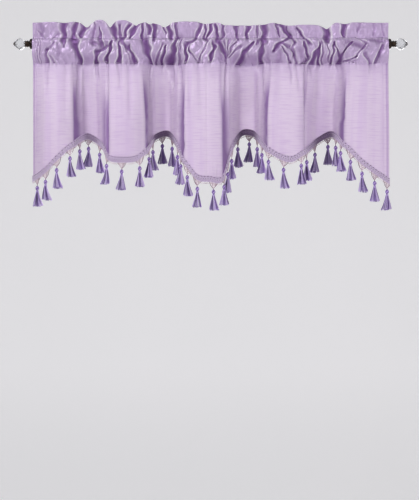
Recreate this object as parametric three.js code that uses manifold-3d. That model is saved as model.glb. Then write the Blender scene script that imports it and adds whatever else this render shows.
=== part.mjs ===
// A scalloped rod-pocket valance in thin lilac faux silk, gathered on a round
// rod with dark collars and clear faceted finials, and trimmed along its hem
// with gimp braid, an open thread net and tassels.
//
// Millimetres, +Z up. The origin is on the rod's axis at the middle of its
// length. +X runs along the rod and the cloth faces -Y.

import * as THREE from 'three';
import { mergeVertices } from 'three/addons/utils/BufferGeometryUtils.js';
import Module from 'manifold-3d';

const wasm = await Module();
wasm.setup();

// Driving dimensions

const CLOTH_HALF_WIDTH = 435;
const CLOTH_THICKNESS = 1.6;
const HEADER_THICKNESS = 3.2;
const STATION_STEP = 14.5;

const ROD_RADIUS = 8;
const ROD_SIDES = 24;
const PIECE_GAP = 0.3;

const GATHER_SEAM_Z = 13.5;
const POCKET_SEAM_Z = -50;
const POCKET_FRONT_REACH = 17;
const POCKET_TIGHT_REACH = 10.3;
const POCKET_BACK_WAVE = 3;
const POCKET_BACK_PITCH = 36;

// Share of the hem's fold depth that is left at the pocket seam, and share of
// the hem's sideways bunching that is left there
const SEAM_FOLD_DEPTH = 0.3;
const SEAM_BUNCHING = 0.62;
const FOLD_FULL_AT = 0.72;

const BRAID_ABOVE_HEM = 13;
const BRAID_BELOW_HEM = 3;
const BRAID_THICKNESS = 1.8;
const BRAID_CLOTH_ROW = 18;

const NET_HALF_WIDTH = 9;
const NET_DROP = 15;
const NET_THREAD_RADIUS = 0.9;
const NET_THICKNESS = 1.4;
const NET_JOIN = 2.5;
const NET_ROOT = 1.5;

const TASSEL_COUNT = 38;
const TASSEL_LOCKS = 6;
const TASSEL_LENGTH = 51.5;
const TASSEL_ROOT_DEPTH = 13.5;
const TASSEL_SKIRT_RADIUS = 12.2;
const TASSEL_CORE_RADIUS = 3.5;

const COLLAR_LENGTH = 19;
const COLLAR_SIDES = 20;
const FINIAL_LENGTH = 29.5;
const FINIAL_SIDES = 8;

// Folds of the cloth at its hem, from left to right. x and y place the corner
// of each fold in plan, r rounds it, and hem is the height of the cloth's lower
// edge there. tassels is the running count of tassels up to the corner.
const FOLDS = [
  { x: -435, y: 6, r: 0, hem: -336, tassels: 0.33 },
  { x: -403, y: -38, r: 26, hem: -319, tassels: 1.84 },
  { x: -369, y: -48, r: 40, hem: -286, tassels: 3.05 },
  { x: -332, y: -44, r: 14, hem: -255, tassels: 4.17 },
  { x: -308, y: 22, r: 14, hem: -230, tassels: 5.87 },
  { x: -280, y: 20, r: 12, hem: -239, tassels: 6.52 },
  { x: -261, y: -12, r: 9, hem: -256, tassels: 7.44 },
  { x: -244, y: -44, r: 14, hem: -287, tassels: 8.31 },
  { x: -212, y: -50, r: 60, hem: -292, tassels: 9.04 },
  { x: -180, y: -49, r: 60, hem: -289, tassels: 9.77 },
  { x: -156, y: -44, r: 12, hem: -272, tassels: 10.38 },
  { x: -140, y: 36, r: 14, hem: -231, tassels: 12.46 },
  { x: -104, y: 54, r: 14, hem: -221, tassels: 13.39 },
  { x: -80, y: 0, r: 10, hem: -250, tassels: 14.89 },
  { x: -65, y: -50, r: 14, hem: -294, tassels: 16.64 },
  { x: -33, y: -54, r: 40, hem: -333, tassels: 17.95 },
  { x: -1, y: -56, r: 60, hem: -339, tassels: 18.78 },
  { x: 28, y: -50, r: 14, hem: -338, tassels: 19.63 },
  { x: 50, y: 2, r: 10, hem: -261, tassels: 22.01 },
  { x: 76, y: 56, r: 16, hem: -219, tassels: 23.52 },
  { x: 110, y: 48, r: 14, hem: -221, tassels: 24.31 },
  { x: 137, y: -44, r: 12, hem: -266, tassels: 26.95 },
  { x: 165, y: -49, r: 60, hem: -283, tassels: 27.72 },
  { x: 195, y: -51, r: 60, hem: -291, tassels: 28.46 },
  { x: 229, y: -46, r: 8, hem: -272, tassels: 29.21 },
  { x: 232, y: -6, r: 12, hem: -266, tassels: 30.03 },
  { x: 262, y: 36, r: 20, hem: -240, tassels: 31.23 },
  { x: 303, y: 40, r: 14, hem: -223, tassels: 32.28 },
  { x: 322, y: -38, r: 14, hem: -254, tassels: 34.47 },
  { x: 371, y: -48, r: 40, hem: -301, tassels: 36.19 },
  { x: 435, y: -20, r: 0, hem: -343, tassels: 38.22 },
];

// Height of the ruffled top edge of the header along the rod
const TOP_EDGE = [
  { x: -435, z: 51 }, { x: -330, z: 54 }, { x: -303, z: 40 }, { x: -279, z: 56 },
  { x: -258, z: 56 }, { x: -247, z: 41 }, { x: -233, z: 54 }, { x: -209, z: 56 },
  { x: -182, z: 45 }, { x: -160, z: 52 }, { x: -148, z: 48 }, { x: -112, z: 42 },
  { x: -95, z: 51 }, { x: -50, z: 53 }, { x: -12, z: 50 }, { x: 10, z: 52 },
  { x: 35, z: 46 }, { x: 100, z: 45 }, { x: 134, z: 48 }, { x: 160, z: 51 },
  { x: 195, z: 44 }, { x: 245, z: 46 }, { x: 284, z: 38 }, { x: 305, z: 51 },
  { x: 330, z: 48 }, { x: 350, z: 52 }, { x: 435, z: 51 },
];

// Gathers in the header, which run from the seam up through the top edge
const HEADER_GATHERS = [
  { x: -418, width: 7, depth: 4 },
  { x: -361, width: 10, depth: 8 },
  { x: -333, width: 9, depth: 7 },
  { x: -309, width: 13, depth: 10 },
  { x: -246, width: 8, depth: 8 },
  { x: -220, width: 7, depth: 5 },
  { x: -186, width: 8, depth: 6 },
  { x: -146, width: 10, depth: 8 },
  { x: -111, width: 10, depth: 9 },
  { x: -80, width: 8, depth: 6 },
  { x: -27, width: 11, depth: 8 },
  { x: 21, width: 9, depth: 7 },
  { x: 64, width: 9, depth: 6 },
  { x: 97, width: 9, depth: 7 },
  { x: 129, width: 9, depth: 7 },
  { x: 182, width: 11, depth: 8 },
  { x: 228, width: 9, depth: 7 },
  { x: 285, width: 13, depth: 10 },
  { x: 331, width: 10, depth: 7 },
  { x: 385, width: 9, depth: 4 },
];

// Gathers in the front of the pocket: each valley runs from (x1, z1) down to
// (x2, z2)
const POCKET_GATHERS = [
  { x1: -415, z1: 12, x2: -408, z2: -55, width: 7, depth: 4 },
  { x1: -341, z1: 14, x2: -315, z2: -60, width: 11, depth: 8 },
  { x1: -218, z1: 15, x2: -254, z2: -50, width: 8, depth: 7 },
  { x1: -218, z1: 15, x2: -187, z2: -45, width: 8, depth: 6 },
  { x1: -168, z1: 4, x2: -146, z2: -60, width: 8, depth: 6 },
  { x1: -89, z1: 10, x2: -87, z2: -58, width: 8, depth: 6 },
  { x1: -58, z1: 7, x2: -56, z2: -48, width: 8, depth: 5 },
  { x1: -13, z1: 7, x2: -6, z2: -48, width: 8, depth: 6 },
  { x1: 21, z1: 10, x2: 38, z2: -60, width: 8, depth: 7 },
  { x1: 74, z1: 0, x2: 42, z2: -36, width: 8, depth: 5 },
  { x1: 102, z1: 4, x2: 68, z2: -52, width: 9, depth: 6 },
  { x1: 127, z1: 10, x2: 119, z2: -60, width: 9, depth: 8 },
  { x1: 190, z1: 22, x2: 158, z2: -16, width: 9, depth: 6 },
  { x1: 227, z1: 14, x2: 239, z2: -40, width: 8, depth: 7 },
  { x1: 265, z1: 2, x2: 240, z2: -40, width: 8, depth: 5 },
  { x1: 290, z1: 12, x2: 318, z2: -24, width: 9, depth: 7 },
  { x1: 320, z1: -20, x2: 320, z2: -70, width: 8, depth: 6 },
  { x1: 380, z1: 8, x2: 330, z2: -42, width: 8, depth: 5 },
  { x1: 405, z1: 8, x2: 400, z2: -50, width: 8, depth: 4 },
];

// Height above the hem of the sheet's rows, as a share of the drop from the
// pocket seam to the braid
const SHEET_ROWS = [0.24, 0.5, 0.72, 0.87, 0.95];

// The pocket's section beside the rod, from below the rod to its top. hold is
// how far a row still follows the sheet's folds, and innerZ is the height of the
// row's points on the rod channel.
const POCKET_ROWS = [
  { z: -36, hold: 0.5, innerZ: -36 },
  { z: -15, hold: 0.08, innerZ: -15 },
  { z: 2.5, hold: 0, innerZ: 2.5 },
  { z: 9.4, hold: 0, innerZ: 7.4 },
];
const POCKET_SHOULDER_INNER = 5.7;
const POCKET_SHOULDER_OUTER = 8.2;
const POCKET_CROWN_Z = 8.5;
const POCKET_FLOOR_RISE = 2.2;

// Share of the header's height that each of its rows reaches
const HEADER_ROWS = [0.45, 1];

// Small helpers

const { lerp, clamp, smoothstep } = THREE.MathUtils;

// Smooth curve through the rows of a table, by one named column over another
function through(rows, over, column, at) {
  let i = 1;
  while (i < rows.length - 1 && rows[i][over] < at) i += 1;
  const a = rows[i - 1];
  const b = rows[i];
  const before = rows[Math.max(i - 2, 0)];
  const after = rows[Math.min(i + 1, rows.length - 1)];
  const span = b[over] - a[over];
  const t = clamp((at - a[over]) / span, 0, 1);
  const slopeA = ((b[column] - before[column]) / (b[over] - before[over])) * span;
  const slopeB = ((after[column] - a[column]) / (after[over] - a[over])) * span;
  const t2 = t * t;
  const t3 = t2 * t;
  return (
    a[column] * (2 * t3 - 3 * t2 + 1) +
    slopeA * (t3 - 2 * t2 + t) +
    b[column] * (3 * t2 - 2 * t3) +
    slopeB * (t3 - t2)
  );
}

function geometryFrom(points, faces) {
  const geometry = new THREE.BufferGeometry();
  const flat = points.flatMap((p) => [p.x, p.y, p.z]);
  geometry.setAttribute('position', new THREE.Float32BufferAttribute(flat, 3));
  geometry.setIndex(faces.flat());
  geometry.computeVertexNormals();
  return geometry;
}

function quad(a, b, c, d) {
  return [[a, b, c], [a, c, d]];
}

function namedMesh(name, geometry, material) {
  const mesh = new THREE.Mesh(geometry, material);
  mesh.name = name;
  return mesh;
}

// The closed geometry as a solid that can be joined to others
function toSolid(geometry) {
  const bare = geometry.clone();
  bare.deleteAttribute('normal');
  bare.deleteAttribute('uv');
  const merged = mergeVertices(bare, 1e-4);
  return new wasm.Manifold(new wasm.Mesh({
    numProp: 3,
    vertProperties: new Float32Array(merged.attributes.position.array),
    triVerts: new Uint32Array(merged.index.array),
  }));
}

function fromSolid(solid) {
  const mesh = solid.getMesh();
  const geometry = new THREE.BufferGeometry();
  geometry.setAttribute('position', new THREE.BufferAttribute(new Float32Array(mesh.vertProperties), 3));
  geometry.setIndex(new THREE.BufferAttribute(new Uint32Array(mesh.triVerts), 1));
  geometry.computeVertexNormals();
  return geometry;
}

// Plan of the hem

// The folds in plan as straight runs joined by rounded corners
function hemPlan() {
  const path = new THREE.Path();
  const corner = FOLDS.map((fold) => new THREE.Vector2(fold.x, fold.y));
  path.moveTo(corner[0].x, corner[0].y);
  for (let i = 1; i < corner.length - 1; i += 1) {
    const toBefore = corner[i - 1].clone().sub(corner[i]);
    const toAfter = corner[i + 1].clone().sub(corner[i]);
    const turn = Math.PI - toBefore.angleTo(toAfter);
    const room = 0.45 * Math.min(toBefore.length(), toAfter.length());
    const reach = Math.min(FOLDS[i].r * Math.tan(turn / 2), room);
    const start = corner[i].clone().addScaledVector(toBefore.normalize(), reach);
    const end = corner[i].clone().addScaledVector(toAfter.normalize(), reach);
    path.lineTo(start.x, start.y);
    path.quadraticCurveTo(corner[i].x, corner[i].y, end.x, end.y);
  }
  const last = corner[corner.length - 1];
  path.lineTo(last.x, last.y);
  return path;
}

const plan = hemPlan();
const FLAT_WIDTH = plan.getLength();

// Every fold's distance along the cloth: runs and corners alternate, and a
// fold sits at the middle of its corner
const planLengths = plan.getCurveLengths();
const foldRows = FOLDS.map((fold, i) => {
  if (i === 0) return { ...fold, s: 0 };
  if (i === FOLDS.length - 1) return { ...fold, s: FLAT_WIDTH };
  return { ...fold, s: (planLengths[2 * i - 2] + planLengths[2 * i - 1]) / 2 };
});

const STATIONS = Math.round(FLAT_WIDTH / STATION_STEP) + 1;
const stationS = (k) => (k / (STATIONS - 1)) * FLAT_WIDTH;

// Shape of the hanging sheet

// Middle of the cloth at distance s along it and share down of its drop below
// the pocket seam
function sheetMiddle(s, down) {
  const hem = plan.getPointAt(clamp(s / FLAT_WIDTH, 0, 1));
  const even = lerp(-CLOTH_HALF_WIDTH, CLOTH_HALF_WIDTH, s / FLAT_WIDTH);
  const opened = smoothstep(down, 0, FOLD_FULL_AT);
  const x = lerp(lerp(even, hem.x, SEAM_BUNCHING), hem.x, opened);
  const y = hem.y * lerp(SEAM_FOLD_DEPTH, 1, opened);
  const hemZ = through(foldRows, 's', 'hem', s);
  const z = lerp(POCKET_SEAM_Z, hemZ, down);
  return new THREE.Vector3(x, y, z);
}

// Unit normal in plan towards the front of the sheet
function sheetNormal(s, down) {
  const step = STATION_STEP * 0.5;
  const a = sheetMiddle(Math.max(s - step, 0), down);
  const b = sheetMiddle(Math.min(s + step, FLAT_WIDTH), down);
  return new THREE.Vector3(b.y - a.y, a.x - b.x, 0).normalize();
}

// How far the header's gathers push the cloth back at x
function headerGather(x) {
  return HEADER_GATHERS.reduce(
    (sum, g) => sum + g.depth * Math.exp(-(((x - g.x) / g.width) ** 2)), 0);
}

// How far the pocket's gathers push its front back at x and z
function pocketGather(x, z) {
  return POCKET_GATHERS.reduce((sum, g) => {
    const along = clamp((z - g.z1) / (g.z2 - g.z1), 0, 1);
    const middle = lerp(g.x1, g.x2, along);
    const beyond = Math.max(z - g.z1, g.z2 - z, 0) / (2 * g.width);
    const side = (x - middle) / g.width;
    return sum + g.depth * Math.exp(-(side ** 2) - beyond ** 2);
  }, 0);
}

// Section of the panel at one station: the outer loop from the front of the
// hem over the header to the back of the hem, and the loop of the rod channel
function panelSection(k) {
  const s = stationS(k);
  const seam = sheetMiddle(s, 0);
  const hem = sheetMiddle(s, 1);
  const half = CLOTH_THICKNESS / 2;
  const front = [];
  const back = [];
  const addSheetRow = (down) => {
    const middle = sheetMiddle(s, down);
    const normal = sheetNormal(s, down);
    const puckered = pocketGather(middle.x, middle.z) * smoothstep(down, 0.35, 0);
    middle.y += puckered;
    front.push(middle.clone().addScaledVector(normal, half));
    back.push(middle.clone().addScaledVector(normal, -half));
  };
  const drop = seam.z - hem.z;
  const braidRow = 1 - BRAID_CLOTH_ROW / drop;
  addSheetRow(1);
  addSheetRow(braidRow);
  for (const rise of SHEET_ROWS) addSheetRow(braidRow * (1 - rise));
  addSheetRow(0);

  const x = seam.x;
  const channelFront = [];
  const channelBack = [];
  const wave = POCKET_BACK_WAVE * 0.5 * (1 + Math.cos((2 * Math.PI * x) / POCKET_BACK_PITCH));
  POCKET_ROWS.forEach((row, i) => {
    const gather = pocketGather(x, row.z);
    const frontReach = Math.max(POCKET_FRONT_REACH - gather, POCKET_TIGHT_REACH);
    const backReach = POCKET_TIGHT_REACH + wave;
    const crown = i === POCKET_ROWS.length - 1;
    const sheetY = seam.y * row.hold;
    const frontY = crown ? -POCKET_SHOULDER_OUTER : lerp(-frontReach, sheetY, row.hold);
    const backY = crown ? POCKET_SHOULDER_OUTER : lerp(backReach, sheetY + 2 * CLOTH_THICKNESS, row.hold);
    front.push(new THREE.Vector3(x, frontY, row.z));
    back.push(new THREE.Vector3(x, backY, row.z));
    const innerFront = crown ? -POCKET_SHOULDER_INNER : frontY + CLOTH_THICKNESS;
    const innerBack = crown ? POCKET_SHOULDER_INNER : backY - CLOTH_THICKNESS;
    channelFront.push(new THREE.Vector3(x, innerFront, row.innerZ));
    channelBack.push(new THREE.Vector3(x, innerBack, row.innerZ));
  });
  const floor = new THREE.Vector3(x, seam.y, POCKET_SEAM_Z + POCKET_FLOOR_RISE);
  const crownPoint = new THREE.Vector3(x, 0, POCKET_CROWN_Z);

  const topZ = through(TOP_EDGE, 'x', 'z', x);
  const gather = headerGather(x);
  const pleatY = (share) => lerp(1.5, 5, share) * (gather / 5 - 0.7) * lerp(0.8, 1.6, share);
  const addHeaderRow = (share) => {
    const z = lerp(GATHER_SEAM_Z, topZ, share);
    const y = pleatY(share);
    front.push(new THREE.Vector3(x, y - HEADER_THICKNESS / 2, z));
    back.push(new THREE.Vector3(x, y + HEADER_THICKNESS / 2, z));
  };
  addHeaderRow(0);
  for (const share of HEADER_ROWS) addHeaderRow(share);
  return { front, back, channelFront, channelBack, floor, crownPoint };
}

// The whole panel as one solid, open only where the rod passes through
function panelGeometry() {
  const sections = Array.from({ length: STATIONS }, (_, k) => panelSection(k));
  const rows = sections[0].front.length;
  const channelRows = sections[0].channelFront.length;
  const outerCount = 2 * rows;
  const channelCount = 2 * channelRows + 2;
  const ringCount = outerCount + channelCount;
  const points = sections.flatMap((sec) => [
    ...sec.front,
    ...sec.back.slice().reverse(),
    sec.floor,
    ...sec.channelFront,
    sec.crownPoint,
    ...sec.channelBack.slice().reverse(),
  ]);
  const outer = (k, j) => k * ringCount + (j % outerCount);
  const channel = (k, j) => k * ringCount + outerCount + (j % channelCount);
  const faces = [];
  for (let k = 0; k < STATIONS - 1; k += 1) {
    for (let j = 0; j < outerCount; j += 1) {
      faces.push(...quad(outer(k, j), outer(k + 1, j), outer(k + 1, j + 1), outer(k, j + 1)));
    }
    for (let j = 0; j < channelCount; j += 1) {
      faces.push(...quad(channel(k, j), channel(k, j + 1), channel(k + 1, j + 1), channel(k + 1, j)));
    }
  }

  const sheetTop = rows - 1 - HEADER_ROWS.length - 1 - channelRows;
  const seamRow = rows - 1 - HEADER_ROWS.length;
  const endFaces = (k) => {
    const f = (j) => outer(k, j);
    const b = (j) => outer(k, outerCount - 1 - j);
    const innerFront = (j) => channel(k, j);
    const innerBack = (j) => channel(k, (channelCount - j) % channelCount);
    const out = [];
    for (let j = 0; j < sheetTop; j += 1) out.push(...quad(f(j), f(j + 1), b(j + 1), b(j)));
    out.push([f(sheetTop), innerFront(0), b(sheetTop)]);
    for (let j = 0; j <= channelRows; j += 1) {
      out.push(...quad(f(sheetTop + j), f(sheetTop + j + 1), innerFront(j + 1), innerFront(j)));
      out.push(...quad(innerBack(j), innerBack(j + 1), b(sheetTop + j + 1), b(sheetTop + j)));
    }
    out.push([innerFront(channelRows + 1), f(seamRow), b(seamRow)]);
    for (let j = seamRow; j < rows - 1; j += 1) out.push(...quad(f(j), f(j + 1), b(j + 1), b(j)));
    return out;
  };
  faces.push(...endFaces(0));
  faces.push(...endFaces(STATIONS - 1).map(([a, b, c]) => [a, c, b]));
  return geometryFrom(points, faces);
}

// Braid and net

const BRAID_NEAR = CLOTH_THICKNESS / 2 + PIECE_GAP;
const BRAID_MIDDLE = BRAID_NEAR + BRAID_THICKNESS / 2;

// Point beside the hem at station k: out in front of the cloth and up from the hem
function besideHem(k, out, up) {
  const s = stationS(k);
  const point = sheetMiddle(s, 1).addScaledVector(sheetNormal(s, 1), out);
  point.z += up;
  return point;
}

// The same at any distance s, on the straight run between two stations
function alongBraid(s, out, up) {
  const at = (clamp(s, 0, FLAT_WIDTH) / FLAT_WIDTH) * (STATIONS - 1);
  const k = Math.min(Math.floor(at), STATIONS - 2);
  return besideHem(k, out, up).lerp(besideHem(k + 1, out, up), at - k);
}

function bandGeometry() {
  const points = [];
  const faces = [];
  for (let k = 0; k < STATIONS; k += 1) {
    points.push(
      besideHem(k, BRAID_NEAR + BRAID_THICKNESS, -BRAID_BELOW_HEM),
      besideHem(k, BRAID_NEAR + BRAID_THICKNESS, BRAID_ABOVE_HEM),
      besideHem(k, BRAID_NEAR, BRAID_ABOVE_HEM),
      besideHem(k, BRAID_NEAR, -BRAID_BELOW_HEM),
    );
  }
  const at = (k, j) => 4 * k + (j % 4);
  for (let k = 0; k < STATIONS - 1; k += 1) {
    for (let j = 0; j < 4; j += 1) {
      faces.push(...quad(at(k, j), at(k + 1, j), at(k + 1, j + 1), at(k, j + 1)));
    }
  }
  faces.push(...quad(at(0, 0), at(0, 1), at(0, 2), at(0, 3)));
  const end = STATIONS - 1;
  faces.push(...quad(at(end, 3), at(end, 2), at(end, 1), at(end, 0)));
  return geometryFrom(points, faces);
}

// Distance along the cloth of tassel number n, counted from 1
const tasselS = (n) => through(foldRows, 'tassels', 's', n);

// Lowest point of thread group number n, where its tassel hangs
function netApex(n) {
  const at = (side) => alongBraid(
    tasselS(n) + side * NET_THREAD_RADIUS, BRAID_MIDDLE, -BRAID_BELOW_HEM - NET_DROP);
  const apex = at(0);
  apex.z = Math.min(at(-1).z, at(1).z);
  return apex;
}

// Outline of one thread group: three threads that part at the braid and meet
// at the apex. u runs along the braid from the group's middle and v is up.
function netShape() {
  const thread = 2 * NET_THREAD_RADIUS;
  const root = -BRAID_BELOW_HEM + NET_ROOT;
  const apex = -BRAID_BELOW_HEM - NET_DROP;
  const crotch = apex + NET_JOIN;
  const shape = new THREE.Shape();
  shape.moveTo(-NET_HALF_WIDTH, root);
  shape.lineTo(-NET_THREAD_RADIUS, apex);
  shape.lineTo(NET_THREAD_RADIUS, apex);
  shape.lineTo(NET_HALF_WIDTH, root);
  shape.lineTo(NET_HALF_WIDTH - thread, root);
  shape.lineTo(NET_THREAD_RADIUS, crotch);
  shape.lineTo(NET_THREAD_RADIUS, root);
  shape.lineTo(-NET_THREAD_RADIUS, root);
  shape.lineTo(-NET_THREAD_RADIUS, crotch);
  shape.lineTo(-NET_HALF_WIDTH + thread, root);
  shape.closePath();
  return shape;
}

// The thread group at distance s, following the braid round its folds
function netGeometry(s) {
  const geometry = new THREE.ExtrudeGeometry(netShape(), { depth: NET_THICKNESS, bevelEnabled: false });
  const position = geometry.attributes.position;
  for (let i = 0; i < position.count; i += 1) {
    const out = BRAID_MIDDLE - NET_THICKNESS / 2 + position.getZ(i);
    const point = alongBraid(s + position.getX(i), out, position.getY(i));
    position.setXYZ(i, point.x, point.y, point.z);
  }
  return geometry;
}

function braidGeometry() {
  let solid = toSolid(bandGeometry());
  for (let n = 1; n <= TASSEL_COUNT; n += 1) {
    solid = solid.add(toSolid(netGeometry(tasselS(n))));
  }
  return fromSolid(solid);
}

// Tassel

// Profile of the knot head from its top to the flat where the locks are rooted
const HEAD_PROFILE = [
  { r: 2.4, z: 0 },
  { r: 6.3, z: -6.5 },
];
const LOCK_ROOT_RADIUS = 3.8;
const LOCK_INSET = 0.16;
const LOCK_FILL = 0.82;

// One tassel hanging from the origin: a faceted knot, then tapered locks that
// part from each other below their roots
function tasselGeometry(turn) {
  const ring = (r, z, share = 0) => Array.from({ length: TASSEL_LOCKS }, (_, i) => {
    const angle = turn + ((i + share) / TASSEL_LOCKS) * 2 * Math.PI;
    return new THREE.Vector3(r * Math.cos(angle), r * Math.sin(angle), z);
  });
  const rootZ = -TASSEL_ROOT_DEPTH;
  const rings = [
    ...HEAD_PROFILE.map(({ r, z }) => ring(r, z)),
    ring(LOCK_ROOT_RADIUS, rootZ),
  ];
  const points = rings.flat();
  const faces = [];
  const at = (j, i) => j * TASSEL_LOCKS + (i % TASSEL_LOCKS);
  for (let i = 1; i < TASSEL_LOCKS - 1; i += 1) faces.push([at(0, 0), at(0, i), at(0, i + 1)]);
  for (let j = 0; j < rings.length - 1; j += 1) {
    for (let i = 0; i < TASSEL_LOCKS; i += 1) {
      faces.push(...quad(at(j, i), at(j + 1, i), at(j + 1, i + 1), at(j, i + 1)));
    }
  }
  const base = rings.length - 1;
  const hub = points.length;
  points.push(new THREE.Vector3(0, 0, rootZ));
  for (let i = 0; i < TASSEL_LOCKS; i += 1) {
    const sector = [hub, at(base, i), at(base, i + 1)];
    const centre = sector.reduce((sum, p) => sum.add(points[p]), new THREE.Vector3()).divideScalar(3);
    const angle = turn + ((i + 0.5) / TASSEL_LOCKS) * 2 * Math.PI;
    const spread = (Math.PI / TASSEL_LOCKS) * LOCK_FILL;
    const tipZ = -TASSEL_LENGTH + 1.2 * Math.sin(5 * angle);
    const tips = [
      new THREE.Vector3(TASSEL_CORE_RADIUS * Math.cos(angle), TASSEL_CORE_RADIUS * Math.sin(angle), tipZ),
      ...[-spread, spread].map((a) => new THREE.Vector3(
        TASSEL_SKIRT_RADIUS * Math.cos(angle + a), TASSEL_SKIRT_RADIUS * Math.sin(angle + a), tipZ)),
    ];
    const root = points.length;
    points.push(...sector.map((p) => points[p].clone().lerp(centre, LOCK_INSET)), ...tips);
    for (let c = 0; c < 3; c += 1) {
      const d = (c + 1) % 3;
      faces.push(...quad(sector[d], sector[c], root + c, root + d));
      faces.push(...quad(root + d, root + c, root + 3 + c, root + 3 + d));
    }
    faces.push([root + 3, root + 5, root + 4]);
  }
  return geometryFrom(points, faces);
}

// Rod, collars and finials, turned about the X axis

function turned(profile, sides) {
  const geometry = new THREE.LatheGeometry(
    profile.map(({ r, x }) => new THREE.Vector2(r, x)), sides);
  geometry.rotateZ(-Math.PI / 2);
  const bare = geometry.clone();
  bare.deleteAttribute('normal');
  bare.deleteAttribute('uv');
  const merged = mergeVertices(bare, 1e-4);
  merged.computeVertexNormals();
  return merged;
}

// Profiles start beside the cloth and run outwards
const COLLAR_PROFILE = [
  { r: 0, x: 0 },
  { r: 12, x: 0 },
  { r: 13, x: 3.5 },
  { r: 12, x: 7 },
  { r: 7.5, x: 8.5 },
  { r: 7.5, x: COLLAR_LENGTH },
  { r: 0, x: COLLAR_LENGTH },
];
const FINIAL_PROFILE = [
  { r: 0, x: 0 },
  { r: 7, x: 0 },
  { r: 14.5, x: 8.5 },
  { r: 14.5, x: 12.5 },
  { r: 8.5, x: 22 },
  { r: 3, x: 28 },
  { r: 0, x: FINIAL_LENGTH },
];

// Materials

const silk = new THREE.MeshStandardMaterial({ color: 0xb9a0cf, roughness: 0.45, side: THREE.DoubleSide });
const gimp = new THREE.MeshStandardMaterial({ color: 0xa596b4, roughness: 0.75 });
const floss = new THREE.MeshStandardMaterial({ color: 0x8f78b5, roughness: 0.6 });
const tube = new THREE.MeshStandardMaterial({ color: 0x3a3434, roughness: 0.4, metalness: 0.9 });
const bronze = new THREE.MeshStandardMaterial({ color: 0x2b2523, roughness: 0.35, metalness: 0.9 });
const crystal = new THREE.MeshStandardMaterial({ color: 0xdfe3e8, roughness: 0.05 });

// Assembly

const valance = new THREE.Group();
valance.add(namedMesh('valance_panel', panelGeometry(), silk));
valance.add(namedMesh('fringe_braid', braidGeometry(), gimp));

const tassels = new THREE.Group();
for (let n = 1; n <= TASSEL_COUNT; n += 1) {
  const tassel = namedMesh(`tassel_${String(n).padStart(2, '0')}`, tasselGeometry(0.9 * n), floss);
  tassel.position.copy(netApex(n));
  tassel.position.z -= PIECE_GAP;
  tassels.add(tassel);
}
valance.add(tassels);

const hardware = new THREE.Group();
const rodHalf = CLOTH_HALF_WIDTH - PIECE_GAP;
const rod = namedMesh('rod', new THREE.CylinderGeometry(
  ROD_RADIUS, ROD_RADIUS, 2 * rodHalf, ROD_SIDES), tube);
rod.rotation.z = Math.PI / 2;
hardware.add(rod);
for (const [side, sign] of [['left', -1], ['right', 1]]) {
  const end = new THREE.Group();
  end.rotation.z = sign < 0 ? Math.PI : 0;
  const collar = namedMesh(`collar_${side}`, turned(COLLAR_PROFILE, COLLAR_SIDES), bronze);
  collar.position.x = CLOTH_HALF_WIDTH;
  const finial = namedMesh(`finial_${side}`, turned(FINIAL_PROFILE, FINIAL_SIDES), crystal);
  finial.position.x = CLOTH_HALF_WIDTH + COLLAR_LENGTH + PIECE_GAP;
  end.add(collar, finial);
  hardware.add(end);
}
valance.add(hardware);

export default valance;
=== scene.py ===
"""Scalloped tassel valance on a curtain rod: cloth, braid, net, tassels and hardware.

The textile is worked out in millimetres from one set of folds, so that the cloth,
its braid, the net and the tassels meet, and is turned into meshes in metres. +X
runs along the rod, +Z is up and the cloth faces -Y.
"""

import logging
import math
from dataclasses import dataclass
from enum import Enum
from typing import Sequence

import bmesh
import bpy
import numpy as np
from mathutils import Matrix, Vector


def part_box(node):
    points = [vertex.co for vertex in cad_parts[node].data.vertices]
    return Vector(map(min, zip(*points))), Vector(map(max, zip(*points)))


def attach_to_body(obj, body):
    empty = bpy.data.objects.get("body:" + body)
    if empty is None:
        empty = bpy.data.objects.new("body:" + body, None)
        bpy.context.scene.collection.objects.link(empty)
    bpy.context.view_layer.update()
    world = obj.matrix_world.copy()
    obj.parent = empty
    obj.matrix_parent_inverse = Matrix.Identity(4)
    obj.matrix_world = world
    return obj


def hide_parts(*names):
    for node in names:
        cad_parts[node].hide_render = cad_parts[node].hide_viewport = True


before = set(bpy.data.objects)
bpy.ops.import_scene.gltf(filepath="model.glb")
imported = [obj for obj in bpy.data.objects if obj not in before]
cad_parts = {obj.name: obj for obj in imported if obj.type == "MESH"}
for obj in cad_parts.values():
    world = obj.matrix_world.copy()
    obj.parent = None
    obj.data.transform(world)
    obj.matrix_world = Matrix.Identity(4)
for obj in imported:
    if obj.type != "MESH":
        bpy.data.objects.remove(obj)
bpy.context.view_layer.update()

log = logging.getLogger("valance")

MM = 0.001
TASSEL_COUNT = 38

Array = np.ndarray
Rgb = tuple[float, float, float]


class Trough(Enum):
    """Section of a crease: what it looks like cut across."""

    SHARP = "flat bottom between raised lips"
    FINE = "narrow pleat between raised lips"
    SOFT = "rounded hollow"


SHARP, FINE, SOFT = Trough.SHARP, Trough.FINE, Trough.SOFT


@dataclass(frozen=True)
class Section:
    """Numbers that draw one kind of trough, in shares of its half width and depth."""

    power: float
    lip: float
    lip_at: float
    lip_width: float
    end: float


SECTIONS: dict[Trough, Section] = {
    SHARP: Section(power=4.0, lip=0.26, lip_at=1.42, lip_width=0.36, end=1.2),
    FINE: Section(power=2.4, lip=0.34, lip_at=1.7, lip_width=0.6, end=2.0),
    SOFT: Section(power=2.0, lip=0.0, lip_at=1.5, lip_width=0.5, end=2.2),
}


@dataclass(frozen=True)
class Crease:
    """A trough pressed into the cloth from (x1, z1) to (x2, z2), in millimetres."""

    x1: float
    z1: float
    x2: float
    z2: float
    half1: float
    half2: float
    depth: float
    kind: Trough


def creases(*rows: tuple) -> tuple[Crease, ...]:
    """Creases from the rows of a table."""
    return tuple(Crease(*row) for row in rows)


@dataclass(frozen=True)
class Fold:
    """One corner of the cloth's plan at the hem, with the hem's height there."""

    x: float
    y: float
    r: float
    hem: float
    tassels: float


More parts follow.
